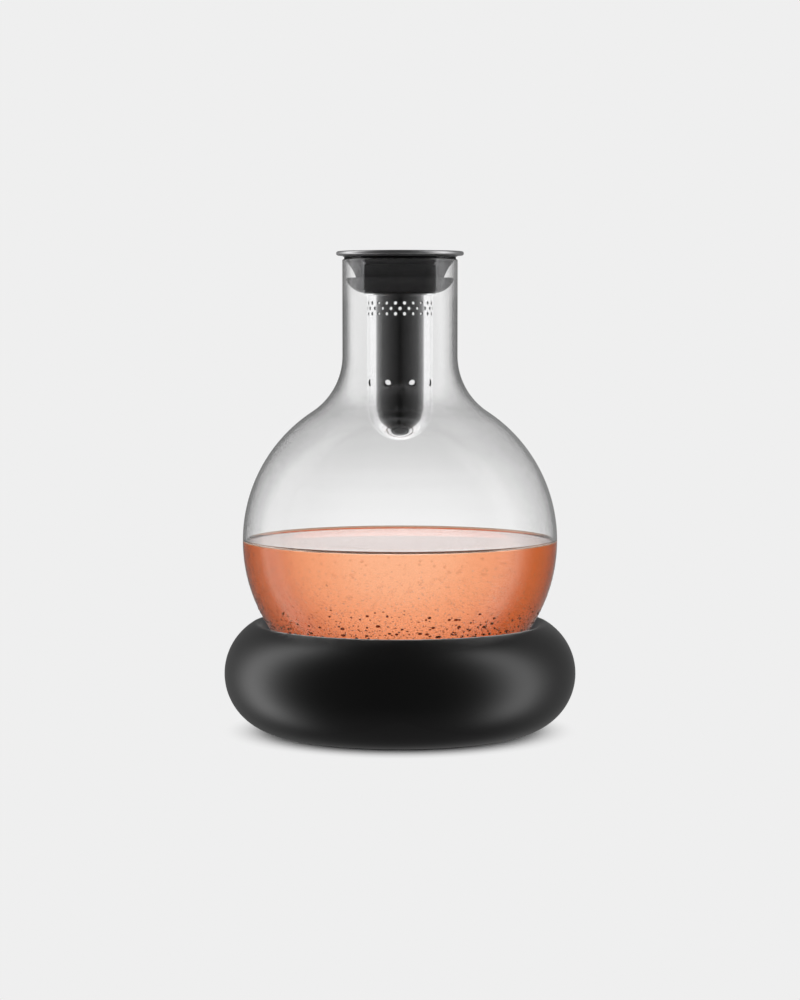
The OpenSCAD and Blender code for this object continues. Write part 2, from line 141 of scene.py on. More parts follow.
@dataclass
class Outline:
    """Half section of a turned piece, drawn stretch by stretch as (radius, height) points."""

    points: list[Point] = field(default_factory=list)
    bend: float = 2.0
    least: int = 6

    def to(self, *points: Point) -> "Outline":
        """Adds straight stretches to the points."""
        self.points.extend(points)
        return self

    def arc(self, mid: Point, radius: float, start: float, end: float) -> "Outline":
        """Adds an arc.

        Args:
            mid: Its middle.
            radius: Its radius.
            start: Angle of its first point, in degrees.
            end: Angle of its last point, in degrees.

        Returns:
            The outline itself.
        """
        count = max(self.least, math.ceil(abs(end - start) / self.bend))
        for i in range(count + 1):
            a = math.radians(start + (end - start) * i / count)
            self.points.append((mid[0] + radius * math.cos(a), mid[1] + radius * math.sin(a)))
        return self

    def bow(self, end: Point, share: float) -> "Outline":
        """Adds an arc from the last point.

        Args:
            end: Its last point.
            share: Its height over its chord, above 0 where it stands off to the left.

        Returns:
            The outline itself.
        """
        p, q = Vector(self.points[-1]), Vector(end)
        chord = (q - p).length
        radius = chord * (1 + 4 * share * share) / (8 * abs(share))
        left = math.copysign(1, share) * Vector((p.y - q.y, q.x - p.x)) / chord
        mid = (p + q) / 2 - left * (radius - chord * abs(share))
        start = math.degrees(math.atan2(p.y - mid.y, p.x - mid.x))
        turn = math.degrees(2 * math.asin(chord / 2 / radius))
        self.points.pop()
        return self.arc(tuple(mid), radius, start, start - math.copysign(turn, share))

    def area(self) -> float:
        """Signed area, above 0 where the points run anticlockwise."""
        ends = self.points[1:] + self.points[:1]
        return sum(p[0] * q[1] - q[0] * p[1] for p, q in zip(self.points, ends)) / 2

    def turned(self, name: str, finish: bpy.types.Material, sectors: int = 192) -> bpy.types.Object:
        """Turns the closed outline round the axis into a closed mesh.

        Args:
            name: Name of the piece.
            finish: Its material.
            sectors: Number of steps round the axis.

        Returns:
            The new piece, linked to the scene.
        """
        outline = self.points if self.area() > 0 else self.points[::-1]
        outline = [p for i, p in enumerate(outline) if math.dist(p, outline[i - 1]) > TINY]
        verts: list[tuple[float, float, float]] = []
        rings: list[list[int]] = []
        for r, z in outline:
            count = 1 if r < TINY else sectors
            rings.append([len(verts) + i for i in range(count)])
            for i in range(count):
                a = 2 * math.pi * i / sectors
                verts.append((r * math.cos(a), r * math.sin(a), z))
        faces: list[list[int]] = []
        for low, high in zip(rings, rings[1:] + rings[:1]):
            if len(low) == len(high) == 1:
                continue
            for i in range(sectors):
                j = (i + 1) % sectors
                corners = [low[i % len(low)], low[j % len(low)], high[j % len(high)],
                           high[i % len(high)]]
                faces.append(list(dict.fromkeys(corners)))
        mesh = bpy.data.meshes.new(name)
        mesh.from_pydata(verts, [], faces)
        mesh.materials.append(finish)
        return placed(name, mesh)


def placed(name: str, mesh: bpy.types.Mesh) -> bpy.types.Object:
    """Makes a mesh a smooth piece in the scene, with its sharp edges kept.

    Args:
        name: Name of the piece.
        mesh: Its mesh, in place.

    Returns:
        The new piece.
    """
    mesh.name = name
    mesh.validate()
    mesh.shade_smooth()
    mesh.set_sharp_from_angle(angle=math.radians(CREASE))
    piece = bpy.data.objects.new(name, mesh)
    bpy.context.scene.collection.objects.link(piece)
    return piece


class Tree:
    """A node tree while it is being built."""

    def __init__(self, tree: bpy.types.NodeTree) -> None:
        """Keeps the tree that the nodes go in."""
        self.tree = tree

    def put(self, kind: str, *values: Any, settings: dict[str, Any] | None = None,
            **named: Any) -> Any:
        """Adds a node.

        Args:
            kind: Its type.
            *values: Values or sockets for its inputs in order; None leaves one alone.
            settings: Its own settings.
            **named: Values or sockets by input name, with _ for a space.

        Returns:
            The node.
        """
        node = self.tree.nodes.new(kind)
        for key, value in (settings or {}).items():
            setattr(node, key, value)
        for target, value in zip(node.inputs, values):
            self.feed(target, value)
        for key, value in named.items():
            self.feed(node.inputs[key.replace("_", " ")], value)
        return node

    def feed(self, target: Socket, value: Any) -> None:
        """Links a socket to an input, or sets it."""
        if isinstance(value, bpy.types.NodeSocket):
            self.tree.links.new(value, target)
        elif value is not None:
            target.default_value = value

    def math(self, operation: str, *values: Any) -> Socket:
        """Result of a sum on numbers."""
        return self.put("ShaderNodeMath", *values, settings={"operation": operation}).outputs[0]

    def vector_math(self, operation: str, *values: Any) -> Any:
        """Outputs of a sum on vectors."""
        return self.put("ShaderNodeVectorMath", *values, settings={"operation": operation}).outputs

    def split(self, vector: Socket) -> Any:
        """The three numbers of a vector."""
        return self.put("ShaderNodeSeparateXYZ", vector).outputs

    def vector(self, x: Any, y: Any, z: Any = 0.0) -> Socket:
        """A vector from three numbers."""
        return self.put("ShaderNodeCombineXYZ", x, y, z).outputs[0]

    def polar(self, turn: Socket, radius: Any) -> list[Socket]:
        """The two sides of a radius at an angle."""
        return [self.math("MULTIPLY", self.math(side, turn), radius)
                for side in ("COSINE", "SINE")]

    def noise(self, place: Socket, scale: Any, detail: float = 2.0) -> Socket:
        """Noise at a place."""
        return self.put("ShaderNodeTexNoise", Vector=place, Scale=scale,
                        Detail=detail).outputs["Fac"]

    def share(self, value: Socket, low: Any, high: Any, smooth: bool = False) -> Socket:
        """How far a number is from a low limit to a high one, from 0 to 1."""
        kind = "SMOOTHSTEP" if smooth else "LINEAR"
        return self.put("ShaderNodeMapRange", settings={"interpolation_type": kind}, Value=value,
                        From_Min=low, From_Max=high).outputs[0]

    def mixed(self, share: Any, first: Any, second: Any, mode: str = "MIX") -> Socket:
        """Two colours mixed by a share.

        Args:
            share: Share of the second colour.
            first: The first colour.
            second: The second colour.
            mode: Way of mixing.

        Returns:
            The colour.
        """
        made = self.put("ShaderNodeMix", share, settings={"data_type": "RGBA", "blend_type": mode})
        self.feed(made.inputs[6], first)
        self.feed(made.inputs[7], second)
        return made.outputs[2]

    def ramp(self, factor: Socket, *stops: tuple[float, Colour], ease: bool = True) -> Socket:
        """Colours along a number.

        Args:
            factor: The number.
            *stops: Places from 0 to 1 with their colours.
            ease: True where a colour turns gently into the next.

        Returns:
            The colour.
        """
        made = self.put("ShaderNodeValToRGB", factor)
        made.color_ramp.interpolation = "EASE" if ease else "LINEAR"
        elements = made.color_ramp.elements
        while len(elements) < len(stops):
            elements.new(0.5)
        for element, (place, colour) in zip(elements, stops):
            element.position = place
            element.color = (*colour, 1.0)
        return made.outputs["Color"]

    def tones(self, factor: Socket, stops: Sequence[Point], low: float = 0.0,
              high: float = 1.0, ease: bool = True) -> Socket:
        """Greys along a number, from stops that run from a low number to a high one."""
        return self.ramp(factor, *(((at - low) / (high - low), (tone,) * 3)
                                   for at, tone in stops), ease=ease)


class Recipe(Tree):
    """A Geometry Nodes tree with named sizes, run once to make a plain mesh."""

    def __init__(self, name: str, sizes: dict[str, float | int], geometry_in: bool = False) -> None:
        """Starts the tree.

        Args:
            name: Name of the tree.
            sizes: Named inputs with the values that they start with.
            geometry_in: True where the tree works on the carrier's own mesh.
        """
        super().__init__(bpy.data.node_groups.new(name, "GeometryNodeTree"))
        face = self.tree.interface
        face.new_socket(name="Geometry", in_out="OUTPUT", socket_type="NodeSocketGeometry")
        if geometry_in:
            face.new_socket(name="Geometry", in_out="INPUT", socket_type="NodeSocketGeometry")
        self.keys: dict[str, str] = {}
        for label, value in sizes.items():
            kind = "NodeSocketInt" if isinstance(value, int) else "NodeSocketFloat"
            entry = face.new_socket(name=label, in_out="INPUT", socket_type=kind)
            entry.default_value = value
            self.keys[label] = entry.identifier
        self.start = self.tree.nodes.new("NodeGroupInput")

    def size(self, label: str) -> Socket:
        """Output of a named input."""
        return self.start.outputs[label]

    def clamped(self, value: Any) -> Socket:
        """A number held between -1 and 1."""
        return self.put("ShaderNodeClamp", value, -1.0, 1.0).outputs[0]

    def joined(self, *parts: Socket) -> Socket:
        """Several geometries as one."""
        node = self.put("GeometryNodeJoinGeometry")
        for part in parts:
            self.tree.links.new(part, node.inputs[0])
        return node.outputs[0]

    def made(self, name: str, geometry: Socket, material: bpy.types.Material,
             carrier_mesh: bpy.types.Mesh | None = None, **sizes: float) -> bpy.types.Object:
        """Ends the tree, runs it and keeps its result as a plain piece.

        Args:
            name: Name of the piece.
            geometry: What the tree gives.
            material: Its finish.
            carrier_mesh: Mesh that the tree works on, where it takes one.
            **sizes: Values of the named inputs, with _ for a space.

        Returns:
            The piece, with no modifier left on it.
        """
        real = self.put("GeometryNodeRealizeInstances", geometry).outputs[0]
        self.put("NodeGroupOutput",
                 self.put("GeometryNodeSetMaterial", real, Material=material).outputs[0])
        mesh = carrier_mesh or bpy.data.meshes.new(name + "_carrier")
        carrier = bpy.data.objects.new(name + "_carrier", mesh)
        bpy.context.scene.collection.objects.link(carrier)
        modifier = carrier.modifiers.new(name, "NODES")
        modifier.node_group = self.tree
        for label, value in sizes.items():
            modifier[self.keys[label.replace("_", " ")]] = value
        graph = bpy.context.evaluated_depsgraph_get()
        result = bpy.data.meshes.new_from_object(carrier.evaluated_get(graph))
        carrier.modifiers.remove(modifier)
        bpy.data.objects.remove(carrier)
        return placed(name, result)


class Paint(Tree):
    """A material's node tree while it is being made."""

    def __init__(self, name: str, **constants: Any) -> None:
        """Starts the material.

        Args:
            name: Its name.
            **constants: Values on the shader's own sockets, with _ for a space.
        """
        self.material = bpy.data.materials.new(name)
        self.material.use_nodes = True
        super().__init__(self.material.node_tree)
        self.shader = self.tree.nodes["Principled BSDF"]
        self.place = self.put("ShaderNodeTexCoord").outputs["Object"]
        self.height = self.split(self.place)["Z"]
        for key, value in constants.items():
            self.shader.inputs[key.replace("_", " ")].default_value = value

    def give(self, label: str, value: Socket) -> None:
        """Links a value to the shader's input of that name."""
        self.tree.links.new(value, self.shader.inputs[label])

    def facing(self) -> Socket:
        """How far the surface is turned away from the eye, for glass and liquids."""
        return self.put("ShaderNodeLayerWeight", Blend=0.5).outputs["Facing"]

    def effect(self, tree: bpy.types.NodeTree, **values: Any) -> Any:
        """Places a shared effect, read at the piece's own place.

        Args:
            tree: The effect's node group.
            **values: Its inputs by name, with _ for a space.

        Returns:
            The group node.
        """
        made = self.put("ShaderNodeGroup", settings={"node_tree": tree})
        for key, value in {"Vector": self.place, **values}.items():
            self.feed(made.inputs[key.replace("_", " ")], value)
        return made

    def by_height(self, stops: Sequence[Point]) -> Socket:
        """The value at the surface's height, from heights in millimetres with their values."""
        low, high = stops[0][0], stops[-1][0]
        return self.tones(self.share(self.height, low * MM, high * MM), stops, low, high)

    def dimmed(self, factor: Socket, colour: Colour, least: float, span: Point) -> Socket:
        """A colour with only its least share left where a number is at its span's low end."""
        return self.ramp(factor, (span[0], tuple(least * c for c in colour)), (span[1], colour))

    def clear_to_mirrors(self, seen: Socket) -> None:
        """Lets mirrored light pass, so that the steel mirrors the studio and not this piece.

        Args:
            seen: The shader that all other light meets.
        """
        path = self.put("ShaderNodeLightPath").outputs
        mirrored = self.math("GREATER_THAN", path["Glossy Depth"], MIRRORED)
        clear = self.put("ShaderNodeBsdfTransparent").outputs[0]
        whole = self.put("ShaderNodeMixShader", mirrored, seen, clear).outputs[0]
        self.feed(self.tree.nodes["Material Output"].inputs["Surface"], whole)

    def bumped(self, height: Socket, strength: float, distance: float) -> None:
        """Raises the surface by a height, over a distance in metres."""
        bump = self.put("ShaderNodeBump", Strength=strength, Distance=distance, Height=height)
        self.give("Normal", bump.outputs["Normal"])

    def coated(self, tone: Socket, skin: Any, strength: float, distance: float) -> None:
        """Gives the shader a colour, and the roughness and height of an effect.

        Args:
            tone: The colour.
            skin: The effect's node.
            strength: How strongly its height shows.
            distance: The height in metres.
        """
        self.give("Base Color", tone)
        self.give("Roughness", skin.outputs["Roughness"])
        self.bumped(skin.outputs["Height"], strength, distance)


class Effect(Tree):
    """A shader node group with named inputs and outputs."""

    def __init__(self, name: str, inputs: dict[str, float], outputs: Sequence[str]) -> None:
        """Starts the group, with a Vector input before the named ones.

        Args:
            name: Name of the group.
            inputs: Number inputs with the values that they start with.
            outputs: Names of its number outputs.
        """
        super().__init__(bpy.data.node_groups.new(name, "ShaderNodeTree"))
        face = self.tree.interface
        face.new_socket(name="Vector", in_out="INPUT", socket_type="NodeSocketVector")
        for label, value in inputs.items():
            entry = face.new_socket(name=label, in_out="INPUT", socket_type="NodeSocketFloat")
            entry.default_value = value
        for label in outputs:
            face.new_socket(name=label, in_out="OUTPUT", socket_type="NodeSocketFloat")
        self.start = self.tree.nodes.new("NodeGroupInput").outputs
        self.end = self.tree.nodes.new("NodeGroupOutput").inputs

    def uneven(self, value: Socket, middle: float) -> None:
        """Gives the roughness, which rises and falls as a number is off its middle."""
        off = self.math("SUBTRACT", value, middle)
        self.give("Roughness", self.math("MULTIPLY_ADD", off, self.start["Spread"],
                                         self.start["Roughness"]))

    def give(self, label: str, value: Socket) -> None:
        """Links a value to a named output."""
        self.tree.links.new(value, self.end[label])


def grain_effect() -> bpy.types.NodeTree:
    """Fine grain of moulded and rubber surfaces, as a height and a roughness.

    Returns:
        The node group, with inputs Scale, Roughness and Spread.
    """
    made = Effect("moulded grain", {"Scale": 1500.0, "Roughness": 0.5, "Spread": 0.1},
                  ("Height", "Roughness"))
    fine = made.noise(made.start["Vector"], made.start["Scale"], detail=3.0)
    wide = made.noise(made.start["Vector"], 45.0)
    wide_part = 0.6
    made.give("Height", fine)
    made.uneven(made.math("MULTIPLY_ADD", wide, wide_part, fine), (1 + wide_part) / 2)
    return made.tree


def spun_effect() -> bpy.types.NodeTree:
    """Faint rings that spinning and polishing leave on sheet steel.

    Returns:
        The node group, with inputs Roughness and Spread.
    """
    made = Effect("spun lines", {"Roughness": 0.1, "Spread": 0.05}, ("Height", "Roughness"))
    place = made.split(made.start["Vector"])
    out = made.vector_math("LENGTH", made.vector(place["X"], place["Y"]))["Value"]
    rings = made.noise(made.vector(out, place["Z"]), 5200.0)
    haze = made.noise(made.start["Vector"], 90.0, detail=3.0)
    made.give("Height", rings)
    made.uneven(made.math("ADD", rings, haze), 1.0)
    return made.tree


def mist_effect() -> bpy.types.NodeTree:
    """Fine mist of water on cold glass, thickest low down and gone at the drink's level.

    Returns:
        The node group, with inputs Level, Depth and Scale.
    """
    made = Effect("cold mist", {"Level": 90 * MM, "Depth": 60 * MM, "Scale": 900.0},
                  ("Height",))
    start = made.start
    below = made.math("SUBTRACT", start["Level"], made.split(start["Vector"])["Z"])
    mask = made.put("ShaderNodeClamp", Value=made.math("DIVIDE", below, start["Depth"]))
    specks = made.put("ShaderNodeTexVoronoi", settings={"feature": "SMOOTH_F1"},
                      Vector=start["Vector"], Scale=start["Scale"], Smoothness=0.4)
    thin = made.math("MULTIPLY", mask.outputs[0], made.noise(start["Vector"], 70.0, detail=4.0))
    made.give("Height", made.math("MULTIPLY", specks.outputs["Distance"], thin))
    return made.tree


@dataclass(frozen=True)
class BlownGlass:
    """Clear blown glass, with painted shade that darkens it towards its edges and above the drink.
    """

    index: float = 1.47
    gloss: float = 0.3
    wave: float = 0.2
    wave_h: float = 0.4 * MM

    def make(self, mist: bpy.types.NodeTree, level: float) -> bpy.types.Material:
        """Makes the material.

        Args:
            mist: The effect of mist on cold glass.
            level: Height that the mist reaches.

        Returns:
            The material.
        """
        paint = Paint("blown glass", Transmission_Weight=1.0, IOR=self.index, Roughness=0.0,
                      Metallic=0.0, Specular_Tint=grey(self.gloss))
        facing = paint.facing()
        # Painted shade: the glass darkens towards its edges, more or less firmly by height
        edge_shade = paint.put("ShaderNodeGamma", paint.tones(facing, EDGE_SHADE_TONES),
                           paint.by_height(EDGE_SHADE_POWERS)).outputs[0]
        # Painted shade of the neck, shown by height over that of the ball
        turned = paint.mixed(paint.by_height(NECK_SHADE_SHARES), edge_shade,
                             paint.tones(facing, NECK_SHADE_TONES))
        # Painted shade on the glass above the drink, multiplied into its colour
        paint.give("Base Color", paint.mixed(1.0, turned, paint.by_height(DRY_SHADE_TONES), "MULTIPLY"))
        film = paint.effect(mist, Level=level)
        paint.bumped(film.outputs["Height"], self.wave, self.wave_h)
        return paint.material


@dataclass(frozen=True)
class PinkDrink:
    """Clear orange pink drink, with painted shade that deepens it downwards and towards its sides.
    """

    index: float = 1.34
    # The drink's orange by how far it turns from the eye, with painted shade that deepens it
    # towards its sides
    front: Colour = (1.0, 0.475, 0.27)
    turned: Colour = (0.94, 0.36, 0.175)
    side: Colour = (0.54, 0.07, 0.004)
    edge: Colour = (0.47, 0.05, 0.002)
    places: tuple[float, ...] = (0.0, 0.07, 0.2, 0.3)
    # Painted shade that deepens the drink low down
    deep: Colour = (0.99, 0.74, 0.64)
    rim: Colour = (0.56, 0.38, 0.29)
    gloss: Colour = (1.0, 0.93, 0.90)
    haze: Colour = (1.0, 0.42, 0.27)
    glow: float = 0.35
    clearness: float = 0.93
    clear_h: float = 18 * MM
    cloud: float = 0.1
    cloud_scale: float = 25.0
    rim_from: float = 0.25
    rim_to: float = 0.5

    def make(self, bottom: float, level: float, climb: float) -> bpy.types.Material:
        """Makes the material.

        Args:
            bottom: Lowest height of the drink.
            level: Height of its surface.
            climb: Height that it climbs at the glass.

        Returns:
            The material.
        """
        paint = Paint("pink drink", Transmission_Weight=self.clearness, IOR=self.index,
                      Roughness=0.0, Metallic=0.0, Specular_Tint=(*self.gloss, 1.0),
                      Sheen_Weight=self.glow, Sheen_Roughness=0.4, Sheen_Tint=(*self.haze, 1.0))
        colours = (self.front, self.turned, self.side, self.edge)
        # The drink's own orange, with painted shade towards its sides
        tint_and_edge_shade = paint.ramp(paint.facing(), *zip(self.places, colours))
        # Painted shade that deepens the drink downwards, made uneven by noise
        depth = paint.math("MULTIPLY_ADD", paint.noise(paint.place, self.cloud_scale), self.cloud,
                           paint.share(paint.height, level - self.clear_h, bottom))
        low_shaded = paint.mixed(depth, tint_and_edge_shade, (*self.deep, 1.0), "MULTIPLY")
        wet = paint.share(paint.height, level + self.rim_from * climb,
                          level + self.rim_to * climb)
        paint.give("Base Color", paint.mixed(wet, low_shaded, (*self.rim, 1.0)))
        paint.clear_to_mirrors(paint.shader.outputs[0])
        return paint.material


@dataclass(frozen=True)
class ClearDrop:
    """Water on the outside of the glass, with painted shade that darkens the edges of each drop."""

    name: str
    # Colour where a drop faces the eye, and painted shade at its edge
    middle: Colour
    edge: Colour
    index: float = 1.33
    places: Point = (0.1, 0.6)
    ripple: float = 0.05
    ripple_scale: float = 600.0
    ripple_h: float = 0.2 * MM

    def make(self) -> bpy.types.Material:
        """Makes the material.

        Returns:
            The material.
        """
        paint = Paint(self.name, Transmission_Weight=1.0, IOR=self.index, Roughness=0.0,
                      Metallic=0.0)
        # Painted shade that darkens each drop towards its edge
        tint_and_edge_shade = paint.ramp(paint.facing(), *zip(self.places, (self.middle, self.edge)))
        paint.give("Base Color", tint_and_edge_shade)
        paint.bumped(paint.noise(paint.place, self.ripple_scale), self.ripple, self.ripple_h)
        return paint.material


@dataclass(frozen=True)
class PolishedSteel:
    """Mirror polished stainless steel."""

    name: str = "polished steel"
    colour: Colour = (0.80, 0.80, 0.805)
    roughness: float = 0.09
    spread: float = 0.04
    line: float = 0.015
    line_h: float = 0.05 * MM
    least: float = 0.94

    def make(self, spun: bpy.types.NodeTree) -> bpy.types.Material:
        """Makes the material.

        Args:
            spun: The effect of spun lines.

        Returns:
            The material.
        """
        paint = Paint(self.name, Metallic=1.0)
        lines = paint.effect(spun, Roughness=self.roughness, Spread=self.spread)
        tone = paint.dimmed(lines.outputs["Height"], self.colour, self.least, (0.3, 0.7))
        paint.coated(tone, lines, self.line, self.line_h)
        return paint.material


@dataclass(frozen=True)
class Moulded:
    """Moulded plastic or rubber with a fine grain."""

    name: str
    colour: Colour
    roughness: float
    spread: float = 0.12
    scale: float = 1500.0
    depth: float = 0.15
    depth_h: float = 0.03 * MM
    least: float = 0.8
    shine: float = 0.5
    coat: float = 0.0
    mirrored: bool = True

    def make(self, grain: bpy.types.NodeTree) -> bpy.types.Material:
        """Makes the material.

        Args:
            grain: The effect of fine grain.

        Returns:
            The material.
        """
        paint = Paint(self.name, Specular_IOR_Level=self.shine, Coat_Weight=self.coat)
        skin = paint.effect(grain, Scale=self.scale, Roughness=self.roughness,
                            Spread=self.spread)
        tone = paint.dimmed(skin.outputs["Height"], self.colour, self.least, (0.25, 0.75))
        paint.coated(tone, skin, self.depth, self.depth_h)
        if not self.mirrored:
            paint.clear_to_mirrors(paint.shader.outputs[0])
        return paint.material


@dataclass(frozen=True)
class SmokySilicone:
    """Thin smoky silicone that lets some light through and hardly bends it."""

    colour: Colour = (0.30, 0.30, 0.305)
    index: float = 1.03
    clearness: float = 0.85
    roughness: float = 0.2
    spread: float = 0.08
    scale: float = 900.0
    depth: float = 0.1
    depth_h: float = 0.02 * MM
    least: float = 0.85
    # Painted shade: the flange's colour between the glass and the collar, and the colour inside the
    # lips towards their waist
    flange: Colour = (0.03, 0.03, 0.03)
    waist_shade: Colour = (0.19, 0.19, 0.194)
    waist_r: float = 20.2 * MM
    lip_r: float = 25 * MM
    flange_h: float = 0.4 * MM

    def make(self, grain: bpy.types.NodeTree, mouth: float) -> bpy.types.Material:
        """Makes the material.

        Args:
            grain: The effect of fine grain.
            mouth: Height of the glass's mouth, above which the flange is thick and painted dark, as
                shade between the glass and the steel collar.

        Returns:
            The material.
        """
        paint = Paint("smoky silicone", Transmission_Weight=self.clearness, IOR=self.index,
                      Metallic=0.0)
        skin = paint.effect(grain, Scale=self.scale, Roughness=self.roughness,
                            Spread=self.spread)
        tone = paint.dimmed(skin.outputs["Height"], self.colour, self.least, (0.25, 0.75))
        # Painted shade: darker from the lips in towards the waist, and dark on the flange
        flat = paint.vector_math("MULTIPLY", paint.place, (1.0, 1.0, 0.0))["Vector"]
        out = paint.vector_math("LENGTH", flat)["Value"]
        lean = paint.mixed(paint.share(out, self.waist_r, self.lip_r), (*self.waist_shade, 1.0), tone)
        over = paint.share(paint.height, mouth - self.flange_h, mouth)
        paint.coated(paint.mixed(over, lean, (*self.flange, 1.0)), skin, self.depth, self.depth_h)
        return paint.material


@dataclass
class Finishes:
    """Every material of the object, each made once."""

    level: float
    bottom: float
    climb: float

    def __post_init__(self) -> None:
        """Makes the shared effects and the materials."""
        grain, spun, mist = grain_effect(), spun_effect(), mist_effect()
        self.glass = BlownGlass().make(mist, self.level)
        self.drink = PinkDrink().make(self.bottom, self.level, self.climb)
        # Painted shade: each drop darkens towards its edge, and the beads are painted dark brown
        # throughout
        self.drop = ClearDrop("fine drops", (0.92, 0.82, 0.76), (0.5, 0.3, 0.2)).make()
        self.bead = ClearDrop("dark beads", (0.40, 0.17, 0.10), (0.06, 0.02, 0.012)).make()
        self.steel = PolishedSteel().make(spun)
        self.satin = PolishedSteel("satin steel", (0.52, 0.52, 0.525), 0.38, 0.08).make(spun)
        self.screw = PolishedSteel("zinc plated steel", (0.42, 0.42, 0.44), 0.35, 0.1).make(spun)
        self.silicone = SmokySilicone().make(grain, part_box("carafe_glass")[1].z)
        self.seal = Moulded("black silicone", (0.018, 0.018, 0.018), 0.42, shine=0.4).make(grain)
        self.base = Moulded("soft touch black", (0.003, 0.003, 0.0031), 0.34, spread=0.05,
                            scale=2600.0, depth=0.1, shine=0.62, mirrored=False).make(grain)
        self.core = Moulded("polished black plastic", (0.008, 0.008, 0.008), 0.14, spread=0.03,
                            depth=0.03, shine=0.45).make(grain)
        self.inner = Moulded("black moulding", (0.016, 0.016, 0.017), 0.5,
                             mirrored=False).make(grain)
        self.foot = Moulded("black rubber", (0.02, 0.02, 0.02), 0.65, scale=900.0,
                            mirrored=False).make(grain)
        self.cold = Moulded("cold pack skin", (0.12, 0.22, 0.36), 0.25, coat=0.3,
                            mirrored=False).make(grain)
        self.plug = Moulded("white moulding", (0.6, 0.61, 0.63), 0.35, mirrored=False).make(grain)


@dataclass
class GlassCarafe:
    """Blown glass ball with its neck, the drink in it and the water on it."""

    ball_r: float = BALL_R
    neck_r: float = NECK_R
    wall: float = GLASS_T
    shoulder_h: float = 87 * MM
    shoulder_r: float = 31.5 * MM
    stand_r: float = 29 * MM
    stand_round: float = 8 * MM
    punt_r: float = 20 * MM
    punt_h: float = 2.4 * MM
    neck_low: float = 30 * MM
    level: float = 89.7 * MM
    # Width, height and bow of the drink's rise at the glass
    meniscus_w: float = 1.8 * MM
    meniscus_h: float = 1.5 * MM
    meniscus_bow: float = 0.16
    # How far the drink reaches into the glass, and a ring of points on its flat top
    skin: float = 0.15 * MM
    top_ring: float = 0.6
    drops: int = 7500
    beads: int = 2100
    drop_seed: int = 7
    stretch_seed: int = 11
    # Lowest drops, dry band under the drink's level, and height of the band of beads
    dew_z: float = 43 * MM
    dry_h: float = 5 * MM
    bead_h: float = 24 * MM
    # Height of a drop over its radius, its length over its width, and how many stay small
    drop_rise: float = 0.4
    drop_stretch: Point = (0.9, 1.8)
    small_share: float = 3.0

    def __post_init__(self) -> None:
        """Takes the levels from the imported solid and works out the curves."""
        low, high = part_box("carafe_glass")
        self.foot_z, self.mouth_z = low.z, high.z
        stand_h = math.sqrt(self.ball_r**2 - self.stand_r**2)
        self.ball_mid = (0.0, self.foot_z + stand_h)
        inner = math.sqrt((self.ball_r - self.stand_round)**2 - (stand_h - self.stand_round)**2)
        self.round_mid = (inner, self.foot_z + self.stand_round)
        self.round_a = math.degrees(math.atan2(self.round_mid[1] - self.ball_mid[1], inner))
        self.lean = math.degrees(2 * math.atan((self.ball_r - self.neck_r) / self.shoulder_h))
        self.dome_r = self.shoulder_h / math.sin(math.radians(self.lean)) - self.shoulder_r
        self.dome_mid = (self.ball_r - self.dome_r, self.ball_mid[1])
        self.hollow_mid = (self.neck_r + self.shoulder_r, self.ball_mid[1] + self.shoulder_h)

    def lower_face(self, depth: float) -> Outline:
        """One face of the glass from the middle of the foot to the ball's widest ring.

        Args:
            depth: Its depth in the glass.

        Returns:
            The outline so far.
        """
        face = Outline([(0.0, self.foot_z + self.punt_h + depth)])
        rise = math.tan(math.atan(self.punt_h / self.punt_r) / 2) / 2
        face.bow((self.punt_r, self.foot_z + depth), rise)
        face.arc(self.round_mid, self.stand_round - depth, -90, self.round_a)
        return face.arc(self.ball_mid, self.ball_r - depth, self.round_a, 0)

    def face(self, depth: float) -> Outline:
        """One face of the glass from the middle of the foot to the mouth.

        Args:
            depth: Its depth in the glass.

        Returns:
            The outline.
        """
        face = self.lower_face(depth)
        face.arc(self.dome_mid, self.dome_r - depth, 0, self.lean)
        face.arc(self.hollow_mid, self.shoulder_r + depth, 180 + self.lean, 180)
        return face.to((self.neck_r - depth, self.ball_mid[1] + self.shoulder_h + self.neck_low))

    def glass(self, finish: bpy.types.Material) -> None:
        """Blows the ball and its neck.

        Args:
            finish: The material of the glass.
        """
        half = self.wall / 2
        outline = self.face(0.0)
        outline.arc((self.neck_r - half, self.mouth_z - half), half, 0, 180)
        outline.to(*reversed(self.face(self.wall).points))
        fitted(outline.turned("carafe_blown", finish), Body.CARAFE, Slot.GLASS, "carafe_glass")

    def drink(self, finish: bpy.types.Material) -> None:
        """Fills in the drink, which climbs a little where it meets the glass.

        Args:
            finish: The material of the drink.
        """
        depth = self.wall - self.skin
        outline = self.lower_face(depth)
        climb = self.level + self.meniscus_h
        wall_r = self.ball_r - depth
        edge_r = math.sqrt(wall_r**2 - (climb - self.ball_mid[1])**2)
        outline.points = [p for p in outline.points if p[1] < min(climb, self.ball_mid[1])]
        outline.to((wall_r, self.ball_mid[1]), (edge_r, climb))
        outline.bow((edge_r - self.meniscus_w, self.level), self.meniscus_bow)
        outline.to((edge_r * self.top_ring, self.level), (0.0, self.level))
        fitted(outline.turned("drink", finish), Body.CARAFE, Slot.DRINK)

    def water(self, drop: bpy.types.Material, bead: bpy.types.Material) -> None:
        """Scatters fine droplets over the cold part of the ball, and larger beads low down.

        Args:
            drop: The material of the fine drops.
            bead: The material of the larger beads.
        """
        self.sprinkle("water_drops", drop, self.drops, self.level - self.dry_h,
                      widths=(0.2, 0.45), steps=(6, 3), gather=0.7)
        self.sprinkle("water_beads", bead, self.beads, self.dew_z + self.bead_h,
                      widths=(0.24, 0.78), steps=(8, 5), gather=1.8)

